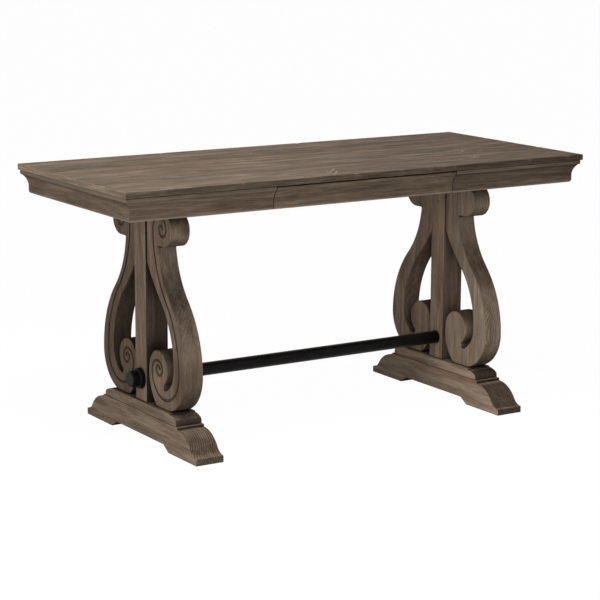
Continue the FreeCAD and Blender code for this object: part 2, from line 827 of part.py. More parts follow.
def groove_runs():
    """The carved line from the lower eye round the bowl, up the stem and into the upper eye."""
    button = (cell("groove_button_radius"), 180)
    inset = cell("groove_inset")
    bowl = cell("bowl_radius") - inset
    bowl_centre = point(cell("scroll_reach") - cell("bowl_radius"), cell("plinth_top") + cell("bowl_height"))
    side = bowl_centre + point(bowl, 0)
    lower = spiral(side, 0, (bowl, 90), (cell("groove_heel_radius"), 90), (cell("groove_turn_radius"), 90),
                   (cell("groove_inner_radius"), 90), (cell("groove_eye_radius"), 180), button)
    over = cell("groove_over_radius")
    neck = point(cell("groove_neck_reach"), cell("cleat_bottom") - cell("groove_top_inset") - over)
    stem = ogee(side, neck, Vector(0, 1, 0), Vector(-1, 0, 0), GROOVE_STEM_SHARE, 0)
    upper = spiral(neck, 180, (over, 90), (cell("groove_down_radius"), 90), (cell("groove_high_eye_radius"), 180),
                   button)
    return backwards(lower) + stem + upper


def spiral(start, angle, *turns):
    """Arcs of given radii and turns that follow on from one another clockwise from a point."""
    runs = []
    for radius, turn in turns:
        centre = round_point(start, -radius, angle)
        runs.append(arc(centre, radius, angle, angle - turn))
        angle -= turn
        start = runs[-1][-1]
    return runs


def scroll(name, front):
    """One S-scroll with eased edges and the groove carved in its outer face."""
    runs = scroll_runs()
    path = groove_runs()
    if front:
        runs = mirrored(runs)
        path = mirrored(path)
    body = new_body(name)
    blank = pad(body, "YZ_Plane", runs, "scroll_thickness")
    ease(body, blank, "edge_ease")
    face = "-scroll_thickness / 2 - groove_radius + groove_depth"
    start = path[0][0]
    offset = cell("scroll_thickness") / 2 + cell("groove_radius") - cell("groove_depth")
    gouge = Part.Circle(point(-offset, start.x), Vector(0, 0, 1), cell("groove_radius"))
    groove = body.newObject("PartDesign::SubtractivePipe", f"{name}_groove")
    groove.Profile = sketch_on(body, "XY_Plane", [gouge], start.y)
    groove.Spine = sketch_on(body, "YZ_Plane", drawn(path), face)
    doc.recompute()
    return body


def profile_block(name, runs, thickness, easing):
    """An outline seen along X raised to a thickness, with eased edges."""
    body = new_body(name)
    blank = pad(body, "YZ_Plane", runs, thickness)
    ease(body, blank, easing)
    return body


def post(name):
    """The post with a tenon at each end."""
    body = new_body(name)
    block = body.newObject("PartDesign::AdditiveBox", f"{name}_block")
    bind(block, Length="post_thickness", Width="post_width", Height="post_height")
    place(block, "-post_thickness / 2", "-post_width / 2", "plinth_top")
    doc.recompute()
    ease(body, block, "edge_ease")
    tenon = body.newObject("PartDesign::AdditiveBox", f"{name}_tenons")
    bind(tenon, Length="tenon_thickness", Width="tenon_width", Height="tenon_length")
    place(tenon, "-tenon_thickness / 2", "-tenon_width / 2", "tenon_bottom")
    return body


def make_trestle(side):
    centre = f"{SIDES[side]}trestle_centre"
    turn = upright(0 if side == "left" else 180)
    labels = {kind: f"{side}_{kind}" for kind in ("foot", "plinth", "post", "front_scroll", "rear_scroll", "cleat")}
    foot = profile_block(labels["foot"], foot_runs(), "foot_thickness", "edge_ease")
    plinth = profile_block(labels["plinth"], plinth_runs(), "plinth_thickness", "plinth_ease")
    front = scroll(labels["front_scroll"], side == "left")
    rear = scroll(labels["rear_scroll"], side == "right")
    solids = {"foot": foot, "plinth": plinth, "post": post(labels["post"])}
    solids.update({"front_scroll": front, "rear_scroll": rear})
    for kind, body in solids.items():
        piece(labels[kind], place(body, centre, turn=turn))
    cleat_low = (f"{centre} - cleat_thickness / 2", "-cleat_length / 2", "cleat_bottom")
    piece(labels["cleat"], board(labels["cleat"], cleat_low, ("cleat_thickness", "cleat_length", "cleat_height")))
    mortise_low = (f"{centre} - tenon_thickness / 2 - fit_clearance", "-tenon_width / 2 - fit_clearance",
                   "tenon_bottom - fit_clearance")
    mortise_extent = [f"{text} + 2 * fit_clearance" for text in ("tenon_thickness", "tenon_width", "tenon_length")]
    mortise = box(f"{side}_mortise", mortise_low, mortise_extent)
    pierce(mortise, labels["foot"], labels["plinth"], labels["cleat"])
    bolts, inserts = cleat_bolts(side, centre, labels)
    return {
        "trestle_dowels": trestle_dowels(side, centre, labels),
        "foot_screws": foot_screws(side, centre, labels),
        "foot_glides": foot_glides(side, centre, labels),
        "cleat_bolts": bolts,
        "top_inserts": inserts,
    }


def make_trestles():
    """Both trestles, with the fasteners of each kind on the two of them held as one sub-part."""
    left, right = (make_trestle(side) for side in SIDES)
    for label, fasteners in left.items():
        piece(label, group(f"{label}_group", fasteners + right[label]))


def trestle_dowels(side, centre, labels):
    """Pegs from each scroll into the plinth and the cleat, and pegs through the post into both scrolls."""
    dowels = []
    for end, sign in (("front", "-"), ("rear", "+")):
        carved = labels[f"{end}_scroll"]
        low = (centre, f"{sign}(scroll_reach - bowl_radius)", "plinth_top - dowel_length / 2")
        dowels.append(dowel(f"{side}_{end}_low_dowel", "+Z", low, "dowel_length",
                            carved, labels["plinth"], labels["foot"]))
        high = (centre, f"{sign}(post_width / 2 + upper_volute_reach) / 2", "cleat_bottom - dowel_length / 2")
        dowels.append(dowel(f"{side}_{end}_high_dowel", "+Z", high, "dowel_length", carved, labels["cleat"]))
    for number, share in enumerate(POST_DOWEL_SHARES, start=1):
        start = (centre, "-(post_width + dowel_length) / 2", f"cleat_bottom - post_joint_length * {share}")
        dowels.append(dowel(f"{side}_post_dowel_{number}", "+Y", start, "post_width + dowel_length",
                            labels["post"], labels["front_scroll"], labels["rear_scroll"]))
    return dowels


def four_corners(centre, across, deep):
    """The four points at an offset each way from the middle of a trestle."""
    return [(f"{centre} {left} {across}", f"{front}{deep}") for left in "-+" for front in "-+"]


def foot_screws(side, centre, labels):
    screws = []
    reach = "plinth_top - foot_screw_cover - foot_screw_seat"
    for number, (across, deep) in enumerate(four_corners(centre, "foot_screw_offset", "foot_screw_reach"), start=1):
        seat = (across, deep, "foot_screw_seat")
        screws.append(screw(f"{side}_foot_screw_{number}", "+Z", seat, reach, "wood_screw",
                            "foot_screw_bore + cut_overrun", labels["foot"], labels["plinth"]))
    return screws


def foot_glides(side, centre, labels):
    """Nail-on discs let into the underside of the foot, which stand a little proud of it."""
    glides = []
    rows = [f"{sign}{reach}" for sign in "-+" for reach in ("glide_inner_reach", "glide_outer_reach")]
    for number, row in enumerate(rows, start=1):
        name = f"{side}_glide_{number}"
        disc = cylinder(f"{name}_disc", "+Z", (centre, row, 0), "glide_radius", "glide_height")
        pin = cylinder(f"{name}_pin", "+Z", (centre, row, "glide_height"), "glide_pin_radius", "glide_pin_length")
        glides.append(fuse(name, [disc, pin]))
        pierce(bore(f"{name}_seat", "+Z", (centre, row, 0), "glide_radius", "glide_height"), labels["foot"])
        pierce(bore(f"{name}_hole", "+Z", (centre, row, "glide_height"), "glide_pin_radius", "glide_pin_length"),
               labels["foot"])
    return glides


def cleat_bolts(side, centre, labels):
    """Bolts up through the cleat into threaded inserts in the underside of the top."""
    bolts = []
    inserts = []
    reach = "top_underside + bolt_engagement - bolt_seat"
    for number, (across, deep) in enumerate(four_corners(centre, "bolt_offset", "bolt_reach"), start=1):
        name = f"{side}_insert_{number}"
        start = (across, deep, "top_underside")
        sleeve = cylinder(f"{name}_sleeve", "+Z", start, "insert_radius", "insert_length")
        thread = cylinder(f"{name}_thread", "+Z", start, "bolt_radius + fit_clearance", "insert_length")
        inserts.append(cut(name, sleeve, thread))
        pierce(bore(f"{name}_seat", "+Z", start, "insert_radius", "insert_length"), "top_panel")
        bolts.append(screw(f"{side}_bolt_{number}", "+Z", (across, deep, "bolt_seat"), reach, "bolt",
                           "bolt_bore + cut_overrun", labels["cleat"]))
    return bolts, inserts


# Stretcher

def make_stretcher():
    """A tube between the posts, a plug in each end of it, and a stud through each post into the plug and a cap."""
    outside = cylinder("tube_outside", "+X", ("-tube_half", 0, "stretcher_height"), "tube_radius", "2 * tube_half")
    inside = cylinder("tube_inside", "+X", ("-tube_half", 0, "stretcher_height"), "tube_radius - tube_wall",
                      "2 * tube_half")
    piece("stretcher_tube", cut("stretcher_tube_hollow", outside, inside))
    socket = bore("tube_socket", "+X", ("-tube_half", 0, "stretcher_height"), "tube_radius", "2 * tube_half")
    pierce(socket, "left_post", "right_post")
    for side, axis in (("left", "-X"), ("right", "+X")):
        plug = f"{side}_stretcher_plug"
        start = (f"{SIDES[side]}(tube_half - plug_length)", 0, "stretcher_height")
        piece(plug, cylinder(f"{plug}_bar", axis, start, "tube_radius - tube_wall - fit_clearance", "plug_length"))
        cap = f"{side}_stretcher_cap"
        turn = upright(0 if side == "right" else 180)
        piece(cap, place(cap_body(cap), f"{SIDES[side]}post_outside", 0, "stretcher_height", turn=turn))
        stud = f"{side}_stretcher_stud"
        start = (f"{SIDES[side]}(tube_half - stud_in_plug)", 0, "stretcher_height")
        reach = "post_outside + stud_in_cap - tube_half + stud_in_plug"
        piece(stud, cylinder(f"{stud}_bar", axis, start, "stud_radius", reach))
        pierce(bore(f"{stud}_hole", axis, start, "stud_radius", reach), plug, cap, f"{side}_post")


def cap_body(name):
    """A collar and a smaller nose, turned about X, with chamfered rims."""
    body = new_body(name)
    collar = cell("collar_radius")
    collar_end = cell("collar_length")
    nose = cell("nose_radius")
    nose_end = collar_end + cell("nose_length")
    rim = cell("cap_chamfer")
    corners = [(0, 0), (0, collar), (collar_end - rim, collar), (collar_end, collar - rim), (collar_end, nose),
               (nose_end - rim, nose), (nose_end, nose - rim), (nose_end, 0)]
    section = sketch_on(body, "XZ_Plane", drawn(outline([point(*corner) for corner in corners])))
    turned = body.newObject("PartDesign::Revolution", f"{name}_turned")
    turned.Profile = section
    turned.ReferenceAxis = (section, ["H_Axis"])
    doc.recompute()
    return body


def finished():
    """Cuts the holes and sockets, names every sub-part and checks the whole document."""
    shapes = {}
    for label, base in blanks.items():
        tools = cuts[label]
        item = cut(f"{label}_cut", base, group(f"{label}_cuts", tools)) if tools else base
        item.Label = label
        shapes[label] = item
    doc.recompute()
    for item in doc.Objects:
        if "Invalid" in item.State or "Error" in item.State:
            raise RuntimeError(f"{item.Name} failed: {item.State}")
    for label, item in shapes.items():
        if item.Shape.isNull() or not item.Shape.isValid() or not item.Shape.Solids:
            raise RuntimeError(f"{label} has no valid solid")
    return shapes


def build():
    fill_sheet()
    make_top()
    make_aprons()
    make_frame()
    make_drawer()
    make_slides()
    make_trestles()
    make_stretcher()
    shapes = finished()
    os.makedirs("parts", exist_ok=True)
    for label, item in shapes.items():
        item.Shape.exportStep(f"parts/{label}.step")


build()
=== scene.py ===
"""A writing desk with a moulded top, one drawer and two carved trestles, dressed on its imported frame."""

import math
from collections import namedtuple

import bmesh
import bpy
from bpy.props import FloatProperty, FloatVectorProperty, IntProperty, PointerProperty
from mathutils import Euler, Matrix, Quaternion, Vector, noise


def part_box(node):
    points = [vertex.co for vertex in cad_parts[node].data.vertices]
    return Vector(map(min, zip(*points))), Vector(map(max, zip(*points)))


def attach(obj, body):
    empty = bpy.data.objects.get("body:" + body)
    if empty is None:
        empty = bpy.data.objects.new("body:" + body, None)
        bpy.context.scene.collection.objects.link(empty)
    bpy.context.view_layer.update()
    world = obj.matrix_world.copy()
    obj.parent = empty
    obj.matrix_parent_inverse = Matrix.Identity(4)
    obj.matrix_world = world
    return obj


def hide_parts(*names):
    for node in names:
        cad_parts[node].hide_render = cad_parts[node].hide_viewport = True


bl_info = {
    "name": "Writing desk",
    "version": (1, 0, 0),
    "blender": (4, 5, 0),
    "location": "View3D > Sidebar > Desk",
    "description": "Dresses a packed writing desk in weathered wood, black metal and plated steel",
    "category": "Object",
}

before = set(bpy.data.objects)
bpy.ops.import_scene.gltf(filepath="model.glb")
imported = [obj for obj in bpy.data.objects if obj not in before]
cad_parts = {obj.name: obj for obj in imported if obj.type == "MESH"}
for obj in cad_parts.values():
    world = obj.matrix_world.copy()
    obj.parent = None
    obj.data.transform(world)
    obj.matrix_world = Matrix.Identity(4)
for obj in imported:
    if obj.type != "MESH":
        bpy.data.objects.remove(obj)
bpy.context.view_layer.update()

MM = 0.001
ALONG_X, ALONG_Y, ALONG_Z = 0, 1, 2
GRAIN_TURNS = {
    ALONG_X: (0.0, 0.0, 0.0),
    ALONG_Y: (0.0, 0.0, math.radians(90)),
    ALONG_Z: (0.0, math.radians(-90), 0.0),
}
WHITE = (1.0, 1.0, 1.0)
WEAR_LAYER = "wear"

# How a piece was cut: its grain, the log's heart from the piece's middle in mm, the lean of the grain in
# degrees, its tone, which also holds painted light as each piece is set paler or darker for the light that falls on it,
# how strongly the rings show on its cut edges and on its side faces, how dark its end grain is, which on the feet,
# plinths and scrolls is also painted shade, how much painted shade lies in its recesses, and the gap between its rings
# in mm
Cut = namedtuple("Cut", "grain heart lean tone rings faces end recess gap")
WEATHERED_CUTS = {
    "front_left_apron": Cut(ALONG_X, (265, 40, -21), (0.6, 1.2), 0.73, 0.12, 0.12, 0.0, 0.0, 8.0),
    "front_right_apron": Cut(ALONG_X, (-90, 58, -30), (0.9, -0.8), 0.70, 0.12, 0.12, 0.0, 0.0, 8.0),
    "back_apron": Cut(ALONG_X, (150, -52, -38), (0.4, 0.7), 0.85, 0.12, 0.12, 0.0, 0.0, 8.0),
    "left_apron": Cut(ALONG_Y, (60, 85, -22), (0.8, 1.1), 0.95, 0.12, 0.12, 0.0, 0.0, 8.0),
    "right_apron": Cut(ALONG_Y, (-49, -80, -31), (-0.7, 0.9), 0.85, 0.12, 0.12, 0.0, 0.0, 8.0),
    "drawer_front": Cut(ALONG_X, (240, 50, 42), (-0.5, 1.0), 0.74, 0.12, 0.12, 0.0, 0.0, 8.0),
    "left_foot": Cut(ALONG_Y, (-96, 210, 24), (1.0, 0.7), 1.20, 1.3, 0.12, 0.50, 0.0, 6.5),
    "right_foot": Cut(ALONG_Y, (-84, -160, 38), (-0.8, 0.9), 1.65, 0.5, 0.15, 0.70, 0.0, 7.0),
    "left_plinth": Cut(ALONG_Y, (-70, 90, -46), (0.7, -0.9), 1.12, 0.6, 0.15, 0.70, 0.3, 6.0),
    "right_plinth": Cut(ALONG_Y, (-88, -140, -38), (0.9, 0.6), 1.75, 0.6, 0.15, 0.78, 0.2, 6.0),
    "left_post": Cut(ALONG_Z, (-92, 40, 300), (0.8, 0.6), 1.0, 0.2, 0.12, 0.3, 0.95, 8.0),
    "right_post": Cut(ALONG_Z, (-85, -46, 120), (-0.6, 0.8), 1.40, 0.2, 0.12, 0.3, 0.66, 8.0),
    "left_front_scroll": Cut(ALONG_Z, (-88, 60, 210), (0.7, 1.1), 1.0, 0.3, 0.12, 0.45, 0.12, 7.0),
    "left_rear_scroll": Cut(ALONG_Z, (-80, -70, -120), (1.0, -0.7), 0.70, 0.3, 0.12, 0.2, 0.70, 7.0),
    "right_front_scroll": Cut(ALONG_Z, (-69, 156, -40), (0.5, 0.8), 1.34, 0.95, 0.12, 0.45, 0.10, 3.0),
    "right_rear_scroll": Cut(ALONG_Z, (-75, -110, 170), (-0.9, 0.6), 1.32, 0.4, 0.12, 0.3, 0.50, 7.0),
    "left_cleat": Cut(ALONG_Y, (-60, 70, -50), (0.8, 0.8), 0.9, 0.5, 0.4, 0.3, 0.0, 8.0),
    "right_cleat": Cut(ALONG_Y, (-64, -60, -48), (0.6, -0.9), 0.9, 0.5, 0.4, 0.3, 0.0, 8.0),
}
TOP_CUT = Cut(ALONG_X, (0, 0, -50), (0.4, 0.3), 0.94, 0.3, 0.3, 0.0, 0.0, 8.0)
# Tones of painted shade on the top's long edges and of painted light on its end bands
TOP_SHADED_EDGE_CUT = Cut(ALONG_X, (80, 30, -52), (0.4, 0.5), 0.41, 0.15, 0.15, 0.0, 0.0, 8.0)
TOP_LIT_BAND_CUT = Cut(ALONG_Y, (-60, 140, -45), (0.5, 0.6), 1.42, 0.15, 0.15, 0.0, 0.0, 8.0)
PLAIN_CUT = Cut(ALONG_X, (0, 0, 0), (0.8, 0.6), 1.0, 0.4, 0.4, 0.2, 0.0, 8.0)

# The finishes of the top: its upper and lower faces, the bands along its ends, made paler as painted light, and its
# long edges, made darker as painted shade
TOP_FINISHES = (
    ("weathered_top", TOP_CUT,
     {"boards": True, "coarse": 0.90, "streaks": 0.7, "flecks": 0.20, "sheen": 0.004, "worn": 0.95}),
    ("weathered_top_lit_band", TOP_LIT_BAND_CUT, {"worn": 0.5}),
    ("weathered_top_shaded_edge", TOP_SHADED_EDGE_CUT, {"worn": 0.3}),
)
FACES, LIT_BANDS, EDGES = range(3)

# Moulded pieces: how strong the painted highlight on the fillet under the top is and how strong the painted shade in
# the cove below it is. The glaze and painted shade in their corners reaches this share as far as on the others.
MOULDED_CORNER_SHADE_SHARE = 0.5
MOULDING_HIGHLIGHT_AND_SHADE = {
    "front_left_apron": (0.16, 0.12),
    "front_right_apron": (0.22, 0.50),
    "back_apron": (0.30, 0.45),
    "left_apron": (0.36, 0.50),
    "right_apron": (0.30, 0.45),
    "drawer_front": (0.06, 0.08),
}

# How far a face turns towards the end of the grain as it starts to darken and when it is darkest, and the pieces that
# darken sooner, where the darkening spreads up round the ogee of the foot and the nose of the plinth as painted shade
END_TURN = (0.15, 0.75)
SHADED_END_TURN = (0.02, 0.32)
SHADED_ENDS = ("right_foot", "right_plinth")

# Pieces whose edges are laid over with the late wood's colour, and how strongly
DARKENED_EDGES = {
    "left_front_scroll": 0.65,
    "left_rear_scroll": 0.75,
    "right_front_scroll": 0.95,
    "right_rear_scroll": 0.90,
    "right_foot": 0.95,
}

# Knots on a piece, and patches of painted light: painted highlight high on the front of the right front scroll and
# painted shade on the left front scroll's lower bowl and round its lower eye. Each has its place and reach in mm, the
# colour of the palette and how strongly it shows
KNOTS_AND_PAINTED_LIGHT = {
    "right_post": (((478, -0.5, 600), (9, 2.6, 6.5), "glaze_and_shade", 0.85),),
    "right_front_scroll": (
        ((484, -40, 164), (9, 3.0, 5.0), "glaze_and_shade", 0.85),
        # Painted highlight on the upper front of the scroll
        ((513, -90, 520), (75, 60, 70), "bare_and_highlight", 0.34),
        ((513, -160, 625), (75, 50, 60), "bare_and_highlight", 0.26),
    ),
    "left_front_scroll": (
        # Painted shade on the lower bowl and round the lower eye
        ((-513, -215, 195), (90, 90, 110), "dark", 0.48),
        ((-542, -78, 248), (30, 60, 60), "dark", 0.42),
    ),
}

# Scratches on the top, as the points that each passes through in mm
SCRATCHES = (
    ((-95, -252), (-100, -274), (-72, -246), (-46, -217)),
    ((-65, -257), (-84, -284), (-112, -316)),
    ((473, -101), (491, -98), (512, -70), (508, -47), (480, -64)),
    ((442, -203), (432, -228), (464, -194), (448, -225), (471, -206)),
    ((-78, 184), (-70, 196)),
    ((40, 203), (49, 212)),
    ((548, -108), (560, -95)),
    ((330, -62), (338, -52)),
    ((-430, 88), (-402, 96), (-396, 80)),
    ((-520, -120), (-505, -132)),
    ((190, 240), (214, 246), (222, 232)),
)

# Nicks along the top's edges: the side they are on, as the axis and the way it faces, the place along it and the
# reach in mm
FRONT, BACK, LEFT, RIGHT = (ALONG_Y, -1), (ALONG_Y, 1), (ALONG_X, -1), (ALONG_X, 1)
NICKS = (
    (FRONT, -47, 9), (FRONT, 106, 7), (FRONT, 203, 10), (FRONT, 249, 8), (FRONT, 289, 6),
    (FRONT, -410, 6), (FRONT, -655, 7), (FRONT, 560, 7), (FRONT, 702, 9),
    (BACK, -300, 8), (BACK, 180, 9), (BACK, 520, 6),
    (LEFT, -210, 7), (LEFT, 60, 9), (LEFT, 250, 6),
    (RIGHT, -120, 8), (RIGHT, 140, 7),
)

# The worn top: how straight along an axis counts as flat, how far a face turns to be a band or an edge, how many
# widths beside a scratch get more points, how much steeper a nick is across the edge and down it, and the scale of
# the dips and of the roughness in a nick
FLAT_SHARE = 0.99
BAND_SHARE = 0.7
SCRATCH_SPAN = 3
NICK_ACROSS, NICK_DOWN = 2.5, 1.6
DIP_SCALE, DIP_SEED = (5, 16), 0.0
ROUGH_SCALE, ROUGH_SEED = (60, 60), 3.0

# The lamps: place, size and the point they face, in metres
LAMPS = {
    "side_light": ((-5.0, -0.9, 1.1), 2.0, (0.0, 0.0, 0.5)),
    "front_light": ((-1.5, -4.4, 1.7), 1.8, (0.0, 0.0, 0.5)),
    "top_light": ((-0.75, -0.8, 2.4), 1.2, (-0.3, 0.0, 0.76)),
    "floor_light": ((-0.6, -1.5, 0.03), 1.2, (-0.6, -1.4, 1.0)),
}
FLOOR_ROUGHNESS = 0.9
FLOOR_SIDES = 96
SENSOR_WIDTH = 36.0
CLIP_END = 200.0


class WoodPalette(bpy.types.PropertyGroup):
    """The colours that one kind of wood shows."""

    body: FloatVectorProperty(
        name="Body", description="Main colour of the wood", subtype="COLOR", default=(0.202, 0.148, 0.106)
    )
    pale: FloatVectorProperty(
        name="Pale streaks", description="Colour of its lighter streaks", subtype="COLOR", default=(0.290, 0.222, 0.162)
    )
    # The late wood colour also darkens edges and paints shade on the left front scroll
    dark: FloatVectorProperty(
        name="Late wood", description="Colour of its darker growth rings", subtype="COLOR",
        default=(0.085, 0.056, 0.038)
    )
    warm: FloatVectorProperty(
        name="Warm patches", description="Colour of its redder patches", subtype="COLOR", default=(0.186, 0.120, 0.086)
    )
    cool: FloatVectorProperty(
        name="Grey patches", description="Colour of its greyer patches", subtype="COLOR", default=(0.165, 0.139, 0.111)
    )
    # The glaze colour lies in the pores, and it also paints the shade in corners, grooves, recesses and the coves of
    # the mouldings
    glaze_and_shade: FloatVectorProperty(
        name="Glaze", description="Colour that lies in pores and corners", subtype="COLOR",
        default=(0.027, 0.022, 0.017)
    )
    # The worn colour shows in scratches and on worn edges, and it also paints highlights on those edges, on the
    # mouldings' fillets and lips and high on the right front scroll
    bare_and_highlight: FloatVectorProperty(
        name="Worn edges", description="Colour of rubbed edges and scratches", subtype="COLOR",
        default=(0.320, 0.258, 0.200)
    )


class WoodFigure(bpy.types.PropertyGroup):
    """The sizes of the figure in the wood."""

    drift: FloatProperty(
        name="Drift", description="How far the rings wander sideways", unit="LENGTH", default=0.020
    )
    wobble: FloatProperty(
        name="Wobble", description="How far the rings tremble on a small scale", unit="LENGTH", default=0.0016
    )
    board_width: FloatProperty(
        name="Board width", description="Width of the boards that the top is glued from", unit="LENGTH", default=0.110
    )
    # Reach of the painted shade in corners
    corner_shade_reach: FloatProperty(
        name="Glaze reach", description="How far from a corner the glaze lies", unit="LENGTH", default=0.009
    )
    # Reach of the painted shade in carved grooves
    groove_shade_reach: FloatProperty(
        name="Groove reach", description="How far across a carved groove holds the glaze", unit="LENGTH", default=0.010
    )
    # Reach of the painted shade in recesses
    recess_shade_reach: FloatProperty(
        name="Recess reach", description="How far across a recess dulls its walls", unit="LENGTH", default=0.200
    )
    # Painted highlight along the aprons' lower lip
    lip_highlight_height: FloatProperty(
        name="Lip height", description="Height of the rubbed lower lip of the aprons", unit="LENGTH", default=0.008
    )
    # Painted highlight on the fillet, with painted shade in the cove below it
    fillet_highlight_height: FloatProperty(
        name="Fillet height", description="Height of the rubbed fillet under the top", unit="LENGTH", default=0.012
    )
    # Painted shade in the upper part of the cove
    cove_shade_reach: FloatProperty(
        name="Cove reach", description="How far down the cove its upper part is dulled", unit="LENGTH", default=0.014
    )
    # Reach of the darkened edges and of the pale edges, which are wear and painted highlight
    edge_reach: FloatProperty(
        name="Edge wear reach", description="How far from an edge the finish is rubbed", unit="LENGTH", default=0.005
    )
    relief: FloatProperty(
        name="Relief", description="Height of the brushed grain", unit="LENGTH", default=0.0007
    )


class TopWear(bpy.types.PropertyGroup):
    """The sizes of the top's worn surface."""

    ease: FloatProperty(
        name="Edge easing", description="Radius of the top's edges", unit="LENGTH", default=0.0015
    )
    step: FloatProperty(
        name="Surface step", description="Distance between the points of the surface", unit="LENGTH", default=0.008
    )
    scratch_width: FloatProperty(
        name="Scratch width", description="Half the width of a scratch", unit="LENGTH", default=0.0022
    )
    scratch_depth: FloatProperty(
        name="Scratch depth", description="Depth of a scratch", unit="LENGTH", default=0.0005
    )
    nick_depth: FloatProperty(
        name="Nick depth", description="Depth of a nick in an edge", unit="LENGTH", default=0.0014
    )
    unevenness: FloatProperty(
        name="Unevenness", description="How far the planed surface dips", unit="LENGTH", default=0.0003
    )
    refinement: IntProperty(
        name="Scratch cuts", description="Cuts across a step beside a scratch", default=5, min=1, max=8
    )


class MetalColours(bpy.types.PropertyGroup):
    """The colours of the metal and plastic pieces."""

    black: FloatVectorProperty(
        name="Black coat", description="Coat of the stretcher", subtype="COLOR", default=(0.005, 0.0045, 0.0045)
    )
    # Rims of the coat: wear, and painted highlight
    rubbed_and_lit: FloatVectorProperty(
        name="Rubbed coat", description="Where the coat is rubbed at its rims", subtype="COLOR",
        default=(0.26, 0.23, 0.21)
    )
    plating: FloatVectorProperty(
        name="Plating", description="Zinc plating of the slides", subtype="COLOR", default=(0.62, 0.63, 0.64)
    )
    screw: FloatVectorProperty(
        name="Screws", description="Plated steel of screws and bolts", subtype="COLOR", default=(0.50, 0.48, 0.43)
    )
    brass: FloatVectorProperty(
        name="Inserts", description="Brass of the threaded inserts", subtype="COLOR", default=(0.70, 0.52, 0.24)
    )
    glide: FloatVectorProperty(
        name="Glides", description="Moulded plastic of the glides", subtype="COLOR", default=(0.045, 0.038, 0.032)
    )


class StageSettings(bpy.types.PropertyGroup):
    """The floor, the lights and the camera."""

    floor: FloatVectorProperty(
        name="Floor", description="Colour of the floor", subtype="COLOR", default=(0.80, 0.80, 0.80)
    )
    floor_reach: FloatProperty(
        name="Floor reach", description="Radius of the floor", unit="LENGTH", default=60.0
    )
    clear_share: FloatProperty(
        name="Clear share", description="How much of the floor is plain white to the camera", subtype="FACTOR",
        default=0.95
    )
    glow: FloatProperty(
        name="Glow", description="Level of the floor's plain white", default=1.03
    )
    fill: FloatProperty(
        name="Fill", description="Level of the even light from all round", default=0.14
    )
    key_power: FloatProperty(
        name="Side light", description="Power of the large light on the left", unit="POWER", default=76.0
    )
    front_power: FloatProperty(
        name="Front light", description="Power of the soft light in front", unit="POWER", default=36.0
    )
    top_power: FloatProperty(
        name="Top light", description="Power of the soft light above", unit="POWER", default=40.0
    )
    floor_power: FloatProperty(
        name="Floor light", description="Power of the light that the floor throws back", unit="POWER", default=9.0
    )
    camera_place: FloatVectorProperty(
        name="Camera place", description="Where the camera stands", subtype="TRANSLATION",
        default=(-3.08518, -4.81141, 1.51256)
    )
    azimuth: FloatProperty(
        name="Azimuth", description="Direction that the camera stands in", subtype="ANGLE", default=math.radians(-32.08)
    )
    elevation: FloatProperty(
        name="Elevation", description="Angle that the camera looks down by", subtype="ANGLE",
        default=math.radians(11.57)
    )
    roll: FloatProperty(
        name="Roll", description="Turn of the picture", subtype="ANGLE", default=math.radians(0.21)
    )
    lens: FloatProperty(
        name="Lens", description="Focal length on a 36 mm sensor, in mm", default=119.02
    )
    shift: FloatVectorProperty(
        name="Shift", description="Shift of the picture as a share of its width", size=2, default=(0.0242, 0.0008)
    )


class DeskSettings(bpy.types.PropertyGroup):
    """Everything about the desk's looks that can be changed."""

    weathered: PointerProperty(type=WoodPalette)
    inner: PointerProperty(type=WoodPalette)
    drawer: PointerProperty(type=WoodPalette)
    figure: PointerProperty(type=WoodFigure)
    top: PointerProperty(type=TopWear)
    metal: PointerProperty(type=MetalColours)
    stage: PointerProperty(type=StageSettings)


# Colours of the two plain woods, which differ from the palette's defaults
INNER_WOOD = {
    "body": (0.340, 0.240, 0.145),
    "pale": (0.430, 0.320, 0.205),
    "dark": (0.220, 0.140, 0.080),
    "warm": (0.320, 0.205, 0.115),
    "cool": (0.330, 0.255, 0.170),
    "glaze_and_shade": (0.120, 0.075, 0.042),
    "bare_and_highlight": (0.460, 0.350, 0.230),
}
DRAWER_WOOD = {
    "body": (0.520, 0.390, 0.245),
    "pale": (0.610, 0.480, 0.320),
    "dark": (0.380, 0.260, 0.150),
    "warm": (0.500, 0.345, 0.200),
    "cool": (0.500, 0.400, 0.270),
    "glaze_and_shade": (0.230, 0.150, 0.085),
    "bare_and_highlight": (0.640, 0.510, 0.350),
}


def settings():
    """The desk's settings in this scene."""
    return bpy.context.scene.desk


def opaque(colour):
    """A colour with full opacity."""
    return (*colour, 1.0)


# Noise drawn out along the grain: features per metre along it and across it, and its detail
DRIFT_NOISE = (1.3, 6.0, 2)
WOBBLE_NOISE = (9.0, 90.0, 2)
STREAK_NOISE = (4.0, 46.0, 4)
PATCH_NOISE = (0.9, 13.0, 3)
FLECK_NOISE = (14.0, 150.0, 3)
FIBRE_NOISE = (7.0, 420.0, 4)
PORE_NOISE = (34.0, 1300.0, 1)
PLATING_NOISE = (14.0, 900.0, 2)
COAT_NOISE = (18.0, 40.0, 3)

# Ranges that a value is eased over: where it starts and ends and, where they are fixed, what it becomes there
LATE_RANGE = (0.30, 1.0)
EARLY_RANGE = (0.45, 0.05)
RING_TURN = (0.60, 0.95)
RING_VARIETY = (0.35, 0.65, 0.6, 1.0)
WARM_RANGE = (0.48, 0.66, 0.0, 0.75)
COOL_RANGE = (0.48, 0.66, 0.0, 0.70)
PALE_RANGE = (0.44, 0.62)
DARK_RANGE = (0.48, 0.66)
FLECK_RANGE = (0.34, 0.66)
PORE_RANGE = (0.60, 0.72)
SPOT_RANGE = (1.0, 0.35)
EDGE_RANGE = (0.10, 0.55)
# Pale edges: wear and painted highlight
WEAR_AND_HIGHLIGHT_VARIETY = (0.38, 0.62, 0.08, 0.48)
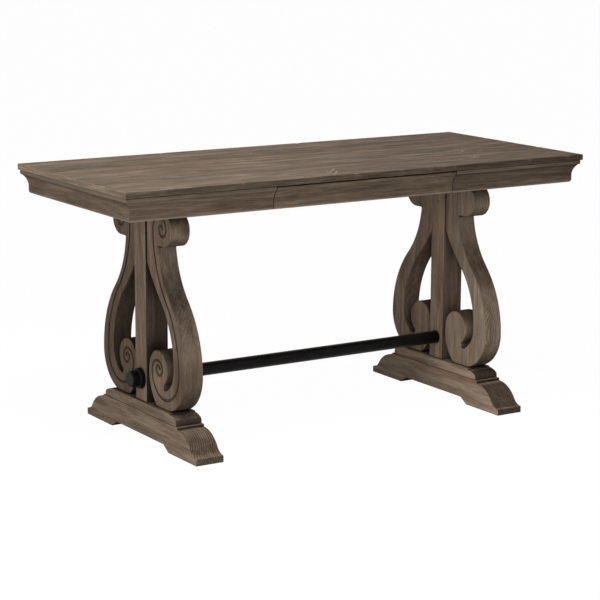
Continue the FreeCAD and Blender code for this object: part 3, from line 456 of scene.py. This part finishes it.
# Ranges of the painted shade in recesses, corners and carved grooves
RECESS_SHADE_RANGE = (0.10, 0.42)
RECESS_SHADE_TURN = (0.60, 0.90, 1.0, 0.0)
CORNER_SHADE_RANGE = (0.12, 0.55, 0.0, 0.85)
GROOVE_SHADE_RANGE = (0.05, 0.30, 0.0, 0.86)
WOOD_ROUGHNESS = (0.30, 0.70, 0.62, 0.46)
COAT_RANGE = (0.3, 0.7, 0.82, 1.12)
# The rims of the black coat: wear and painted highlight
RIM_RANGE = (0.22, 0.55, 0.0, 0.9)
RIM_VARIETY = (0.35, 0.6, 0.4, 1.0)
GRAIN_RANGE = (0.25, 0.75)

# How strongly each kind of figure shows
STREAK_STRENGTH = 0.60
DARK_STREAK_STRENGTH = 0.60
FLECK_STRENGTH = 0.12
EARLY_STRENGTH = 0.45
LATE_STRENGTH = 0.80
FIBRE_STRENGTH = 0.80
BOARD_STRENGTH = 0.30
PORE_STRENGTH = 0.55
# The painted highlight on the lips and the painted shadow along the top of the mouldings
LIP_HIGHLIGHT_STRENGTH = 0.8
SHADOW_LINE_STRENGTH = 0.8
LATE_DIP, FIBRE_RISE, PORE_DIP = -0.8, 0.7, -0.5
WOOD_BUMP, METAL_BUMP = 0.55, 0.25
ROUGHNESS_VARIETY = 0.07

# Lengths in the finish: where the painted highlight on the lip is full, how sharply the fillet ends, the painted shadow
# line above it, how far the boards of the top lie apart in their logs, and the metal's rims, worn and painted as
# highlights, and relief
LIP_HIGHLIGHT_FULL = 2.0 * MM
FILLET_BLEND = 1.0 * MM
SHADOW_LINE_DEPTH, SHADOW_LINE_FULL = 3.5 * MM, 1.0 * MM
BOARD_SHIFT, BOARD_DEPTH = 7.0, 0.03
RIM_REACH = 2.2 * MM
METAL_RELIEF = 0.2 * MM

MIDDLE = 0.5
WAVE_RATE = 20
OCCLUSION_SAMPLES = 8


# Shader nodes
def add(tree, kind, feeds=None, **choices):
    """A shader node with its choices, its inputs fed by plain values or by other nodes' sockets."""
    made = tree.nodes.new("ShaderNode" + kind)
    for name, value in choices.items():
        setattr(made, name, value)
    for name, value in (feeds or {}).items():
        if isinstance(value, bpy.types.NodeSocket):
            tree.links.new(value, made.inputs[name])
        else:
            made.inputs[name].default_value = value
    return made


def calc(tree, operation, *values):
    """The result of one sum on values or sockets."""
    return add(tree, "Math", dict(enumerate(values)), operation=operation).outputs[0]


def times(tree, one, other):
    """Two values multiplied."""
    return calc(tree, "MULTIPLY", one, other)


def vector_calc(tree, operation, *values):
    """The result of one sum on vectors."""
    return add(tree, "VectorMath", dict(enumerate(values)), operation=operation).outputs[0]


def channels(tree, value):
    """The three parts of a vector or a colour."""
    return add(tree, "SeparateXYZ", {0: value}).outputs


def spread(tree, value, low, high, out_low=0.0, out_high=1.0):
    """A value eased from one range into another and kept within it."""
    feeds = {"Value": value, "From Min": low, "From Max": high, "To Min": out_low, "To Max": out_high}
    return add(tree, "MapRange", feeds, interpolation_type="SMOOTHSTEP").outputs["Result"]


def mixed(tree, share, under, over, blend="MIX"):
    """One colour mixed with another."""
    feeds = {0: share, 6: under, 7: over}
    return add(tree, "Mix", feeds, data_type="RGBA", blend_type=blend).outputs[2]


def laid(tree, colour, share, over):
    """A plain colour laid over what is there."""
    return mixed(tree, share, colour, opaque(over))


def shaded(tree, colour, level):
    """A colour made darker or paler by a level."""
    grey = add(tree, "CombineXYZ", {0: level, 1: level, 2: level}).outputs[0]
    return mixed(tree, 1.0, colour, grey, "MULTIPLY")


def grain_noise(tree, place, kind, coarse=1.0):
    """Noise of one kind, drawn out along the grain."""
    along, across, detail = kind
    drawn = vector_calc(tree, "MULTIPLY", place, (along, across * coarse, across * coarse))
    return add(tree, "TexNoise", {"Vector": drawn, "Scale": 1.0, "Detail": detail}).outputs


def occluded(tree, reach, inside, alone):
    """How much of the near surroundings is hidden: corners seen from outside, edges seen from inside."""
    near = add(
        tree, "AmbientOcclusion", {"Distance": reach}, samples=OCCLUSION_SAMPLES, inside=inside, only_local=alone
    )
    return calc(tree, "SUBTRACT", 1.0, near.outputs["AO"])


def new_material(name):
    """A material and its shader."""
    material = bpy.data.materials.new(name)
    material.use_nodes = True
    return material, material.node_tree, material.node_tree.nodes["Principled BSDF"]


def join(tree, shader, colour, roughness, bump):
    """The shader takes its colour, its roughness and its relief."""
    tree.links.new(colour, shader.inputs["Base Color"])
    tree.links.new(roughness, shader.inputs["Roughness"])
    tree.links.new(bump.outputs["Normal"], shader.inputs["Normal"])


# The finish of the wood
def in_boards(tree, place, width):
    """The place within its own board, as each board across the width is cut from another log, and how pale or dark the
    board is.
    """
    along, across, deep = channels(tree, place)
    count = calc(tree, "DIVIDE", across, width)
    board = add(tree, "TexWhiteNoise", {"W": calc(tree, "FLOOR", count)}, noise_dimensions="1D").outputs
    lot = channels(tree, board["Color"])
    along = calc(tree, "MULTIPLY_ADD", lot[0], BOARD_SHIFT, along)
    across = times(tree, calc(tree, "SUBTRACT", calc(tree, "FRACT", count), lot[1]), width)
    deep = calc(tree, "MULTIPLY_ADD", lot[2], BOARD_DEPTH, deep)
    return add(tree, "CombineXYZ", {0: along, 1: across, 2: deep}).outputs[0], board["Value"]


def in_log(tree, coords, cut, node, boards):
    """The place in the log that a point of the node was cut from, and how pale or dark its board is."""
    heart = middle(node) + Vector(cut.heart) * MM
    turn = Euler(GRAIN_TURNS[cut.grain])
    turn.rotate_axis("Y", math.radians(cut.lean[0]))
    turn.rotate_axis("Z", math.radians(cut.lean[1]))
    log = add(tree, "Mapping", {"Vector": coords, "Location": heart, "Rotation": turn}, vector_type="TEXTURE")
    if boards:
        return in_boards(tree, log.outputs[0], settings().figure.board_width)
    return log.outputs[0], MIDDLE


def wander(tree, place):
    """The place moved sideways, so that the rings wander and tremble."""
    figure = settings().figure
    moved = place
    for kind, reach in ((DRIFT_NOISE, figure.drift), (WOBBLE_NOISE, figure.wobble)):
        swing = vector_calc(tree, "SUBTRACT", grain_noise(tree, place, kind)["Color"], (MIDDLE, MIDDLE, MIDDLE))
        moved = vector_calc(tree, "MULTIPLY_ADD", swing, (0.0, reach, reach), moved)
    return moved


def growth_rings(tree, place, gap):
    """How much late wood and how much early wood a point shows."""
    rings = add(
        tree,
        "TexWave",
        {"Vector": place, "Scale": math.tau / (WAVE_RATE * gap * MM), "Distortion": 0.0},
        wave_type="RINGS",
        rings_direction="X",
        wave_profile="SAW",
    ).outputs["Fac"]
    return spread(tree, rings, *LATE_RANGE), spread(tree, rings, *EARLY_RANGE)


def streaky(tree, palette, place, streak, streaks, coarse):
    """The wood's body colour with its patches and its pale and dark streaks."""
    patch = channels(tree, grain_noise(tree, place, PATCH_NOISE, coarse)["Color"])
    colour = laid(tree, opaque(palette.body), spread(tree, patch[0], *WARM_RANGE), palette.warm)
    colour = laid(tree, colour, spread(tree, patch[1], *COOL_RANGE), palette.cool)
    colour = laid(tree, colour, spread(tree, streak[0], *PALE_RANGE, 0.0, streaks), palette.pale)
    dark = spread(tree, streak[1], *DARK_RANGE, 0.0, DARK_STREAK_STRENGTH * streaks)
    return laid(tree, colour, dark, palette.dark)


def spot_share(tree, coords, place, reach):
    """A share that is one inside a knot or patch and falls to nothing at its rim."""
    near = add(
        tree,
        "Mapping",
        {"Vector": coords, "Location": Vector(place) * MM, "Scale": Vector(reach) * MM},
        vector_type="TEXTURE",
    )
    away = add(tree, "VectorMath", {0: near.outputs[0]}, operation="LENGTH")
    return spread(tree, away.outputs["Value"], *SPOT_RANGE)


def moulding_highlight_and_shade(tree, colour, palette, coords, pale, dull, top):
    """A moulding's lower lip and fillet get a painted highlight, its cove painted shade, and a thin band of painted
    shadow runs along its top.
    """
    figure = settings().figure
    up = channels(tree, coords)[ALONG_Z]
    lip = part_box("drawer_front")[0].z
    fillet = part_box("top_panel")[0].z - figure.fillet_highlight_height
    # Painted highlight on the lip and the fillet, painted shade in the cove's upper part, and a thin painted shadow at
    # the top
    lip_highlight = spread(tree, up, lip + figure.lip_highlight_height, lip + LIP_HIGHLIGHT_FULL, 0.0, LIP_HIGHLIGHT_STRENGTH)
    fillet_highlight = spread(tree, up, fillet, fillet + FILLET_BLEND, 0.0, pale)
    below_fillet_shade = spread(tree, up, fillet + FILLET_BLEND, fillet, 0.0, dull)
    cove = times(tree, spread(tree, up, fillet - figure.cove_shade_reach, fillet), below_fillet_shade)
    shadow_line = spread(tree, up, top - SHADOW_LINE_DEPTH, top - SHADOW_LINE_FULL, 0.0, SHADOW_LINE_STRENGTH)
    colour = laid(tree, colour, calc(tree, "MAXIMUM", lip_highlight, fillet_highlight), palette.bare_and_highlight)
    for share in (cove, shadow_line):
        colour = laid(tree, colour, share, palette.glaze_and_shade)
    return colour


def shade_in_corners(tree, colour, palette, facing, cut, corner_shade_reach):
    """Painted shade, in the glaze colour, in the recesses, the corners and the carved grooves."""
    figure = settings().figure
    # Painted shade deep in recesses on faces that do not face along X, in corners between and within pieces, and in
    # carved grooves
    recess = spread(tree, occluded(tree, figure.recess_shade_reach, False, False), *RECESS_SHADE_RANGE, 0.0, cut.recess)
    recess = times(tree, recess, spread(tree, facing[ALONG_X], *RECESS_SHADE_TURN))
    corner = spread(tree, occluded(tree, corner_shade_reach, False, False), *CORNER_SHADE_RANGE)
    groove = spread(tree, occluded(tree, figure.groove_shade_reach, False, True), *GROOVE_SHADE_RANGE)
    for share in (recess, corner, groove):
        colour = laid(tree, colour, share, palette.glaze_and_shade)
    return colour


def wood(name, palette, cut, node, glazed_and_shaded=True, boards=False, coarse=1.0, streaks=STREAK_STRENGTH,
         flecks=FLECK_STRENGTH, sheen=0.0, worn=0.0, moulded=None, darkened_edges=0.0, ends=END_TURN, patches=()):
    """Solid wood for a CAD node, cut from a log: rings, streaks, pores, worn and darkened edges, painted highlights and
    painted shade.
    """
    figure = settings().figure
    material, tree, shader = new_material(name)
    source = add(tree, "TexCoord").outputs
    coords = source["Object"]
    facing = channels(tree, vector_calc(tree, "ABSOLUTE", source["Normal"]))
    place, board_tone = in_log(tree, coords, cut, node, boards)
    place = wander(tree, place)
    late, early = growth_rings(tree, place, cut.gap)
    streak = channels(tree, grain_noise(tree, place, STREAK_NOISE, coarse)["Color"])
    fibre = grain_noise(tree, place, FIBRE_NOISE)["Fac"]
    pore = spread(tree, grain_noise(tree, place, PORE_NOISE)["Fac"], *PORE_RANGE)
    ring_share = spread(tree, facing[ALONG_X], *RING_TURN, cut.rings, cut.faces)
    ring_share = times(tree, ring_share, spread(tree, streak[2], *RING_VARIETY))

    # The colour, and how pale or dark it is, where the piece's tone also holds painted light
    colour = streaky(tree, palette, place, streak, streaks, coarse)
    colour = laid(tree, colour, times(tree, early, times(tree, ring_share, EARLY_STRENGTH)), palette.pale)
    colour = laid(tree, colour, times(tree, late, times(tree, ring_share, LATE_STRENGTH)), palette.dark)
    level = calc(tree, "MULTIPLY_ADD", fibre, FIBRE_STRENGTH, cut.tone - FIBRE_STRENGTH * MIDDLE)
    level = calc(tree, "MULTIPLY_ADD", calc(tree, "SUBTRACT", board_tone, MIDDLE), BOARD_STRENGTH, level)
    # End grain is darker, and on the feet, plinths and scrolls this darkening is also painted shade
    level = times(tree, level, spread(tree, facing[cut.grain], *ends, 1.0, 1.0 - cut.end))
    if glazed_and_shaded:
        fleck = grain_noise(tree, place, FLECK_NOISE, coarse)["Fac"]
        level = times(tree, level, spread(tree, fleck, *FLECK_RANGE, 1.0 - flecks, 1.0 + flecks))
    colour = shaded(tree, colour, level)
    colour = laid(tree, colour, times(tree, pore, PORE_STRENGTH), palette.glaze_and_shade)
    # Knots, and patches of painted highlight and painted shade
    for spot, reach, tint, strength in patches:
        share = times(tree, spot_share(tree, coords, spot, reach), strength)
        colour = laid(tree, colour, share, getattr(palette, tint))

    # Edges are darkened on some pieces and worn pale on others, where the pale edges are wear and painted highlight
    # together; painted shade lies in the corners
    edge = spread(tree, occluded(tree, figure.edge_reach, True, True), *EDGE_RANGE)
    wear_and_highlight = 0.0
    if darkened_edges:
        colour = laid(tree, colour, times(tree, edge, darkened_edges), palette.dark)
    elif not moulded:
        wear_and_highlight = times(tree, edge, spread(tree, streak[0], *WEAR_AND_HIGHLIGHT_VARIETY))
    if worn:
        scratched = add(tree, "Attribute", attribute_name=WEAR_LAYER).outputs["Fac"]
        wear_and_highlight = calc(tree, "MAXIMUM", wear_and_highlight, times(tree, scratched, worn))
    colour = laid(tree, colour, wear_and_highlight, palette.bare_and_highlight)
    corner_shade_reach = figure.corner_shade_reach
    if moulded:
        colour = moulding_highlight_and_shade(tree, colour, palette, coords, *moulded)
        corner_shade_reach *= MOULDED_CORNER_SHADE_SHARE
    if glazed_and_shaded:
        colour = shade_in_corners(tree, colour, palette, facing, cut, corner_shade_reach)

    height = calc(tree, "MULTIPLY_ADD", times(tree, late, ring_share), LATE_DIP, times(tree, fibre, FIBRE_RISE))
    height = calc(tree, "MULTIPLY_ADD", pore, PORE_DIP, height)
    bump = add(tree, "Bump", {"Strength": WOOD_BUMP, "Distance": figure.relief, "Height": height})
    join(tree, shader, colour, spread(tree, fibre, *WOOD_ROUGHNESS), bump)
    shader.inputs["Specular IOR Level"].default_value = sheen
    return material


def metal(name, colour, roughness, grain=ALONG_Y, metallic=1.0, gloss=0.5, rubbed_and_lit=None, peel=0.0):
    """Coated or plated metal, with fine streaks or a grainy coat, and with rims worn to another colour that also paints
    their highlights.
    """
    material, tree, shader = new_material(name)
    coords = add(tree, "TexCoord").outputs["Object"]
    turned = add(tree, "Mapping", {"Vector": coords, "Rotation": GRAIN_TURNS[grain]}, vector_type="TEXTURE").outputs[0]
    patch = grain_noise(tree, turned, COAT_NOISE)["Fac"]
    tint = shaded(tree, opaque(colour), spread(tree, patch, *COAT_RANGE))
    # Rims in another colour: wear and painted highlight
    if rubbed_and_lit:
        rim_wear_and_highlight = spread(tree, occluded(tree, RIM_REACH, True, True), *RIM_RANGE)
        tint = laid(tree, tint, times(tree, rim_wear_and_highlight, spread(tree, patch, *RIM_VARIETY)), rubbed_and_lit)
    if peel:
        grainy = add(tree, "TexNoise", {"Vector": coords, "Scale": peel, "Detail": 2.0}).outputs["Fac"]
    else:
        grainy = grain_noise(tree, turned, PLATING_NOISE)["Fac"]
    bump = add(tree, "Bump", {"Strength": METAL_BUMP, "Distance": METAL_RELIEF, "Height": grainy})
    dull = spread(tree, grainy, *GRAIN_RANGE, roughness - ROUGHNESS_VARIETY, roughness + ROUGHNESS_VARIETY)
    join(tree, shader, tint, dull, bump)
    shader.inputs["Metallic"].default_value = metallic
    shader.inputs["Specular IOR Level"].default_value = gloss
    return material


def finish_node(node, material):
    """The CAD node shows this material."""
    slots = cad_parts[node].data.materials
    slots.clear()
    slots.append(material)


def middle(node):
    """The middle of a CAD node's box."""
    low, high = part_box(node)
    return (low + high) / 2


def weather(*nodes):
    """The CAD nodes take the weathered finish, each cut from its own log."""
    for node in nodes:
        # Each takes painted highlight and shade on its mouldings, darker edges, darker end grain that is partly painted
        # shade, and knots with patches of painted light
        finish = wood(
            "weathered_" + node, settings().weathered, WEATHERED_CUTS[node], node,
            moulded=(*MOULDING_HIGHLIGHT_AND_SHADE[node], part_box(node)[1].z) if node in MOULDING_HIGHLIGHT_AND_SHADE else None,
            darkened_edges=DARKENED_EDGES.get(node, 0.0),
            ends=SHADED_END_TURN if node in SHADED_ENDS else END_TURN,
            patches=KNOTS_AND_PAINTED_LIGHT.get(node, ()),
        )
        finish_node(node, finish)


def plain(palette, prefix, cuts):
    """The CAD nodes take a plain wood with no flecks and no painted shade: each node's grain and the heart from its
    middle in mm.
    """
    for node, (grain, heart) in cuts.items():
        cut = PLAIN_CUT._replace(grain=grain, heart=heart)
        finish_node(node, wood(prefix + node, palette, cut, node, glazed_and_shaded=False))


# The worn top
def new_piece(name, bm, *materials):
    """An object at the origin from a finished bmesh."""
    mesh = bpy.data.meshes.new(name)
    bm.to_mesh(mesh)
    bm.free()
    for material in materials:
        mesh.materials.append(material)
    piece = bpy.data.objects.new(name, mesh)
    bpy.context.scene.collection.objects.link(piece)
    return piece


def lies_along(edge, axis, least):
    """Whether an edge runs along an axis and is longer than the least length."""
    run = edge.verts[1].co - edge.verts[0].co
    return run.length > least and abs(run[axis]) > FLAT_SHARE * run.length


def slab(low, high, ease, step):
    """A board with eased edges and a grid of points over its upper face."""
    bm = bmesh.new()
    bmesh.ops.create_cube(bm, size=1.0)
    bmesh.ops.scale(bm, vec=high - low, verts=bm.verts)
    bmesh.ops.translate(bm, vec=(low + high) / 2, verts=bm.verts)
    bmesh.ops.bevel(
        bm, geom=bm.edges[:], offset=ease, offset_type="OFFSET", segments=3, profile=0.5, affect="EDGES", material=-1
    )
    for axis in (ALONG_X, ALONG_Y):
        runs = [edge for edge in bm.edges if lies_along(edge, axis, step)]
        cuts = round((high - low)[axis] / step)
        bmesh.ops.subdivide_edges(bm, edges=runs, cuts=cuts, use_grid_fill=True)
    underside = [face for face in bm.faces if face.normal.z < -FLAT_SHARE]
    bmesh.ops.dissolve_faces(bm, faces=underside, use_verts=False)
    return bm


def apart(point, start, end):
    """How far a point on the plane is from a straight run."""
    run = end - start
    share = max(0.0, min(1.0, (point - start).dot(run) / run.length_squared))
    return (point - start - run * share).length


def off_scratch(point):
    """How far a point on the plane is from the nearest scratch."""
    nearest = 1.0
    for scratch in SCRATCHES:
        places = [Vector(place) * MM for place in scratch]
        for start, end in zip(places, places[1:]):
            nearest = min(nearest, apart(point, start, end))
    return nearest


def refine_scratches(bm, wear):
    """More points on the upper face beside each scratch."""
    reach = wear.step + SCRATCH_SPAN * wear.scratch_width
    beside = [
        face
        for face in bm.faces
        if face.normal.z > FLAT_SHARE and off_scratch(face.calc_center_median().xy) < reach
    ]
    edges = list({edge for face in beside for edge in face.edges})
    bmesh.ops.subdivide_edges(bm, edges=edges, cuts=wear.refinement, use_grid_fill=True)


def nick_share(point, low, high):
    """How deep in a nick of the upper edge a point lies, from nothing to one."""
    deepest = 0.0
    for (facing, way), place, reach in NICKS:
        along = ALONG_X if facing == ALONG_Y else ALONG_Y
        edge = (high if way > 0 else low)[facing]
        across, down = (point[facing] - edge) * NICK_ACROSS, (point.z - high.z) * NICK_DOWN
        off = Vector((point[along] - place * MM, across, down))
        deepest = max(deepest, math.exp(-((off.length / (reach * MM)) ** 2)))
    return deepest


def uneven(point, scale, seed):
    """A share that changes smoothly over the plane."""
    return 0.5 + 0.5 * noise.noise(Vector((point.x * scale[0], point.y * scale[1], seed)))


def wear_surface(bm, wear, low, high):
    """Scratches, nicks and a slight unevenness in the upper face, and how worn each point is."""
    layer = bm.verts.layers.float.new(WEAR_LAYER)
    centre = (low + high) / 2
    for vert in bm.verts:
        point = vert.co.copy()
        if point.z < centre.z:
            continue
        scratch = math.exp(-((off_scratch(point.xy) / wear.scratch_width) ** 2))
        nick = nick_share(point, low, high)
        dip = uneven(point, DIP_SCALE, DIP_SEED)
        rough = uneven(point, ROUGH_SCALE, ROUGH_SEED)
        vert.co.z -= wear.scratch_depth * scratch + wear.unevenness * dip + wear.nick_depth * nick * rough
        inward = (centre - point).xy.normalized() * wear.nick_depth * nick * rough
        vert.co.x += inward.x
        vert.co.y += inward.y
        vert[layer] = max(scratch, nick * rough)


def top_finish(normal):
    """Which finish of the top a face takes, by the way it faces: ends paler as painted light, long edges darker as
    painted shade.
    """
    if abs(normal.y) > BAND_SHARE:
        return EDGES
    return LIT_BANDS if abs(normal.x) > BAND_SHARE else FACES


class DESK_OT_top(bpy.types.Operator):
    """The glued-up top with its eased edges, scratches and nicks"""

    bl_idname = "desk.top"
    bl_label = "Worn top"

    def execute(self, context):
        wear = settings().top
        low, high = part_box("top_panel")
        bm = slab(low, high, wear.ease, wear.step)
        refine_scratches(bm, wear)
        wear_surface(bm, wear, low, high)
        for face in bm.faces:
            face.smooth = True
            face.material_index = top_finish(face.normal)
        palette = settings().weathered
        finishes = [wood(name, palette, cut, "top_panel", **choices) for name, cut, choices in TOP_FINISHES]
        top = new_piece("worn_top", bm, *finishes)
        facing = top.modifiers.new("facing", "WEIGHTED_NORMAL")
        facing.keep_sharp = False
        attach(top, "desk")
        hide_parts("top_panel")
        return {"FINISHED"}


class DESK_OT_aprons(bpy.types.Operator):
    """The moulded rails under the top"""

    bl_idname = "desk.aprons"
    bl_label = "Aprons"

    def execute(self, context):
        weather("front_left_apron", "front_right_apron", "left_apron", "right_apron", "back_apron")
        return {"FINISHED"}


class DESK_OT_inner_frame(bpy.types.Operator):
    """The corner blocks and the boards that carry the drawer"""

    bl_idname = "desk.inner_frame"
    bl_label = "Inner frame"

    def execute(self, context):
        cuts = {
            "front_left_corner_block": (ALONG_Z, (60, 45, 20)),
            "front_right_corner_block": (ALONG_Z, (-50, 52, 90)),
            "back_left_corner_block": (ALONG_Z, (48, -60, 150)),
            "back_right_corner_block": (ALONG_Z, (-62, -44, 220)),
            "left_bearer": (ALONG_Y, (40, 80, -55)),
            "right_bearer": (ALONG_Y, (-45, -60, -50)),
        }
        plain(settings().inner, "inner_", cuts)
        return {"FINISHED"}


class DESK_OT_drawer(bpy.types.Operator):
    """The drawer's moulded front and its box"""

    bl_idname = "desk.drawer"
    bl_label = "Drawer"

    def execute(self, context):
        weather("drawer_front")
        cuts = {
            "drawer_box_front": (ALONG_X, (120, 45, -40)),
            "drawer_back": (ALONG_X, (-160, 50, 38)),
            "drawer_left_side": (ALONG_Y, (44, 90, -42)),
            "drawer_right_side": (ALONG_Y, (-47, -110, 40)),
            "drawer_bottom": (ALONG_X, (60, 20, -90)),
        }
        plain(settings().drawer, "drawer_", cuts)
        return {"FINISHED"}


class DESK_OT_slides(bpy.types.Operator):
    """The two telescopic slides"""

    bl_idname = "desk.slides"
    bl_label = "Drawer slides"

    def execute(self, context):
        plating = metal("plated_slide", settings().metal.plating, roughness=0.34)
        for side in ("left", "right"):
            for member in ("outer", "outer_cage", "middle", "inner_cage", "inner"):
                finish_node(f"{side}_slide_{member}", plating)
        return {"FINISHED"}


class DESK_OT_trestles(bpy.types.Operator):
    """The two trestles: feet, plinths, posts, carved scrolls and cleats"""

    bl_idname = "desk.trestles"
    bl_label = "Trestles"

    def execute(self, context):
        for side in ("left", "right"):
            for part in ("foot", "plinth", "post", "front_scroll", "rear_scroll", "cleat"):
                weather(f"{side}_{part}")
        return {"FINISHED"}


class DESK_OT_stretcher(bpy.types.Operator):
    """The black stretcher with its caps, plugs and studs"""

    bl_idname = "desk.stretcher"
    bl_label = "Stretcher"

    def execute(self, context):
        colours = settings().metal
        coat = metal(
            "black_coat", colours.black, roughness=0.40, grain=ALONG_X, metallic=0.0, gloss=0.07,
            rubbed_and_lit=colours.rubbed_and_lit, peel=1500.0,
        )
        steel = metal("stretcher_steel", colours.screw, roughness=0.38, grain=ALONG_X)
        finish_node("stretcher_tube", coat)
        for side in ("left", "right"):
            finish_node(f"{side}_stretcher_cap", coat)
            finish_node(f"{side}_stretcher_plug", steel)
            finish_node(f"{side}_stretcher_stud", steel)
        return {"FINISHED"}


class DESK_OT_fixings(bpy.types.Operator):
    """Screws, bolts, inserts, dowels and glides"""

    bl_idname = "desk.fixings"
    bl_label = "Fixings"

    def execute(self, context):
        colours = settings().metal
        steel = metal("screw_steel", colours.screw, roughness=0.36, grain=ALONG_Z)
        for node in (
            "corner_block_screws",
            "drawer_front_screws",
            "slide_bearer_screws",
            "slide_drawer_screws",
            "foot_screws",
            "cleat_bolts",
        ):
            finish_node(node, steel)
        brass = metal("insert_brass", colours.brass, roughness=0.32, grain=ALONG_Z)
        finish_node("top_inserts", brass)
        plastic = metal("glide_plastic", colours.glide, roughness=0.55, grain=ALONG_Z, metallic=0.0, peel=900.0)
        finish_node("foot_glides", plastic)
        plain(settings().drawer, "peg_", {"trestle_dowels": (ALONG_Z, (30, 25, 40))})
        return {"FINISHED"}


# The stage
def seen_directly(tree):
    """One for rays that come from the camera, a reflection or through glass, and nothing for other light."""
    path = add(tree, "LightPath").outputs
    total = calc(tree, "ADD", path["Is Camera Ray"], path["Is Glossy Ray"])
    return calc(tree, "MINIMUM", calc(tree, "ADD", total, path["Is Transmission Ray"]), 1.0)


def lay_floor(stage):
    """A round pale floor that is white to the camera but for the desk's shadow."""
    material, tree, shader = new_material("studio_floor")
    shader.inputs["Base Color"].default_value = opaque(stage.floor)
    shader.inputs["Roughness"].default_value = FLOOR_ROUGHNESS
    shader.inputs["Specular IOR Level"].default_value = 0.0
    glow = add(tree, "Emission", {"Color": opaque(WHITE), "Strength": stage.glow})
    share = times(tree, seen_directly(tree), stage.clear_share)
    both = add(tree, "MixShader", {0: share, 1: shader.outputs[0], 2: glow.outputs[0]})
    tree.links.new(both.outputs[0], tree.nodes["Material Output"].inputs["Surface"])
    bm = bmesh.new()
    bmesh.ops.create_circle(bm, cap_ends=True, radius=stage.floor_reach, segments=FLOOR_SIDES)
    new_piece("studio_floor", bm, material)


def light_world(stage):
    """Even light from all round, with a white background."""
    world = bpy.data.worlds.new("studio")
    world.use_nodes = True
    tree = world.node_tree
    backdrop = tree.nodes["Background"]
    backdrop.inputs["Color"].default_value = opaque(WHITE)
    level = spread(tree, seen_directly(tree), 0.0, 1.0, stage.fill, 1.0)
    tree.links.new(level, backdrop.inputs["Strength"])
    bpy.context.scene.world = world


def hang_lamp(name, place, size, power, aim):
    """A soft square lamp that faces a point."""
    lamp = bpy.data.lights.new(name, "AREA")
    lamp.size = size
    lamp.energy = power
    hung = bpy.data.objects.new(name, lamp)
    hung.location = place
    hung.visible_camera = False
    hung.rotation_euler = (Vector(aim) - Vector(place)).to_track_quat("-Z", "Y").to_euler()
    bpy.context.scene.collection.objects.link(hung)


def stand_camera(stage):
    """The camera at the photograph's viewing angle."""
    data = bpy.data.cameras.new("camera")
    data.sensor_width = SENSOR_WIDTH
    data.lens = stage.lens
    data.shift_x, data.shift_y = stage.shift
    data.clip_end = CLIP_END
    camera = bpy.data.objects.new("camera", data)
    across = math.cos(stage.elevation)
    back = Vector(
        (math.sin(stage.azimuth) * across, -math.cos(stage.azimuth) * across, math.sin(stage.elevation))
    )
    camera.rotation_mode = "QUATERNION"
    camera.rotation_quaternion = (-back).to_track_quat("-Z", "Y") @ Quaternion((0, 0, 1), stage.roll)
    camera.location = stage.camera_place
    bpy.context.scene.collection.objects.link(camera)
    bpy.context.scene.camera = camera


class DESK_OT_stage(bpy.types.Operator):
    """The pale floor, the soft lights and the camera"""

    bl_idname = "desk.stage"
    bl_label = "Stage"

    def execute(self, context):
        stage = settings().stage
        context.scene.view_settings.view_transform = "Standard"
        lay_floor(stage)
        light_world(stage)
        powers = (stage.key_power, stage.front_power, stage.top_power, stage.floor_power)
        for (name, (place, size, aim)), power in zip(LAMPS.items(), powers):
            hang_lamp(name, place, size, power, aim)
        stand_camera(stage)
        return {"FINISHED"}


OPERATORS = (
    DESK_OT_stage,
    DESK_OT_top,
    DESK_OT_aprons,
    DESK_OT_inner_frame,
    DESK_OT_drawer,
    DESK_OT_slides,
    DESK_OT_trestles,
    DESK_OT_stretcher,
    DESK_OT_fixings,
)


class DESK_PT_panel(bpy.types.Panel):
    """The desk's pieces and the stage, in the order they are made"""

    bl_idname = "DESK_PT_panel"
    bl_label = "Writing desk"
    bl_space_type = "VIEW_3D"
    bl_region_type = "UI"
    bl_category = "Desk"

    def draw(self, context):
        for operator in OPERATORS:
            self.layout.operator(operator.bl_idname)


CLASSES = (
    WoodPalette,
    WoodFigure,
    TopWear,
    MetalColours,
    StageSettings,
    DeskSettings,
    *OPERATORS,
    DESK_PT_panel,
)


def register():
    """Adds the settings, the operators and the panel."""
    for each in CLASSES:
        bpy.utils.register_class(each)
    bpy.types.Scene.desk = PointerProperty(type=DeskSettings)


def unregister():
    """Takes the settings, the operators and the panel away."""
    del bpy.types.Scene.desk
    for each in reversed(CLASSES):
        bpy.utils.unregister_class(each)


def main():
    """Makes the stage and dresses every piece of the desk."""
    register()
    for palette, colours in ((settings().inner, INNER_WOOD), (settings().drawer, DRAWER_WOOD)):
        for name, colour in colours.items():
            setattr(palette, name, colour)
    bpy.ops.desk.stage()
    bpy.ops.desk.top()
    bpy.ops.desk.aprons()
    bpy.ops.desk.inner_frame()
    bpy.ops.desk.drawer()
    bpy.ops.desk.slides()
    bpy.ops.desk.trestles()
    bpy.ops.desk.stretcher()
    bpy.ops.desk.fixings()


if __name__ == "__main__":
    main()
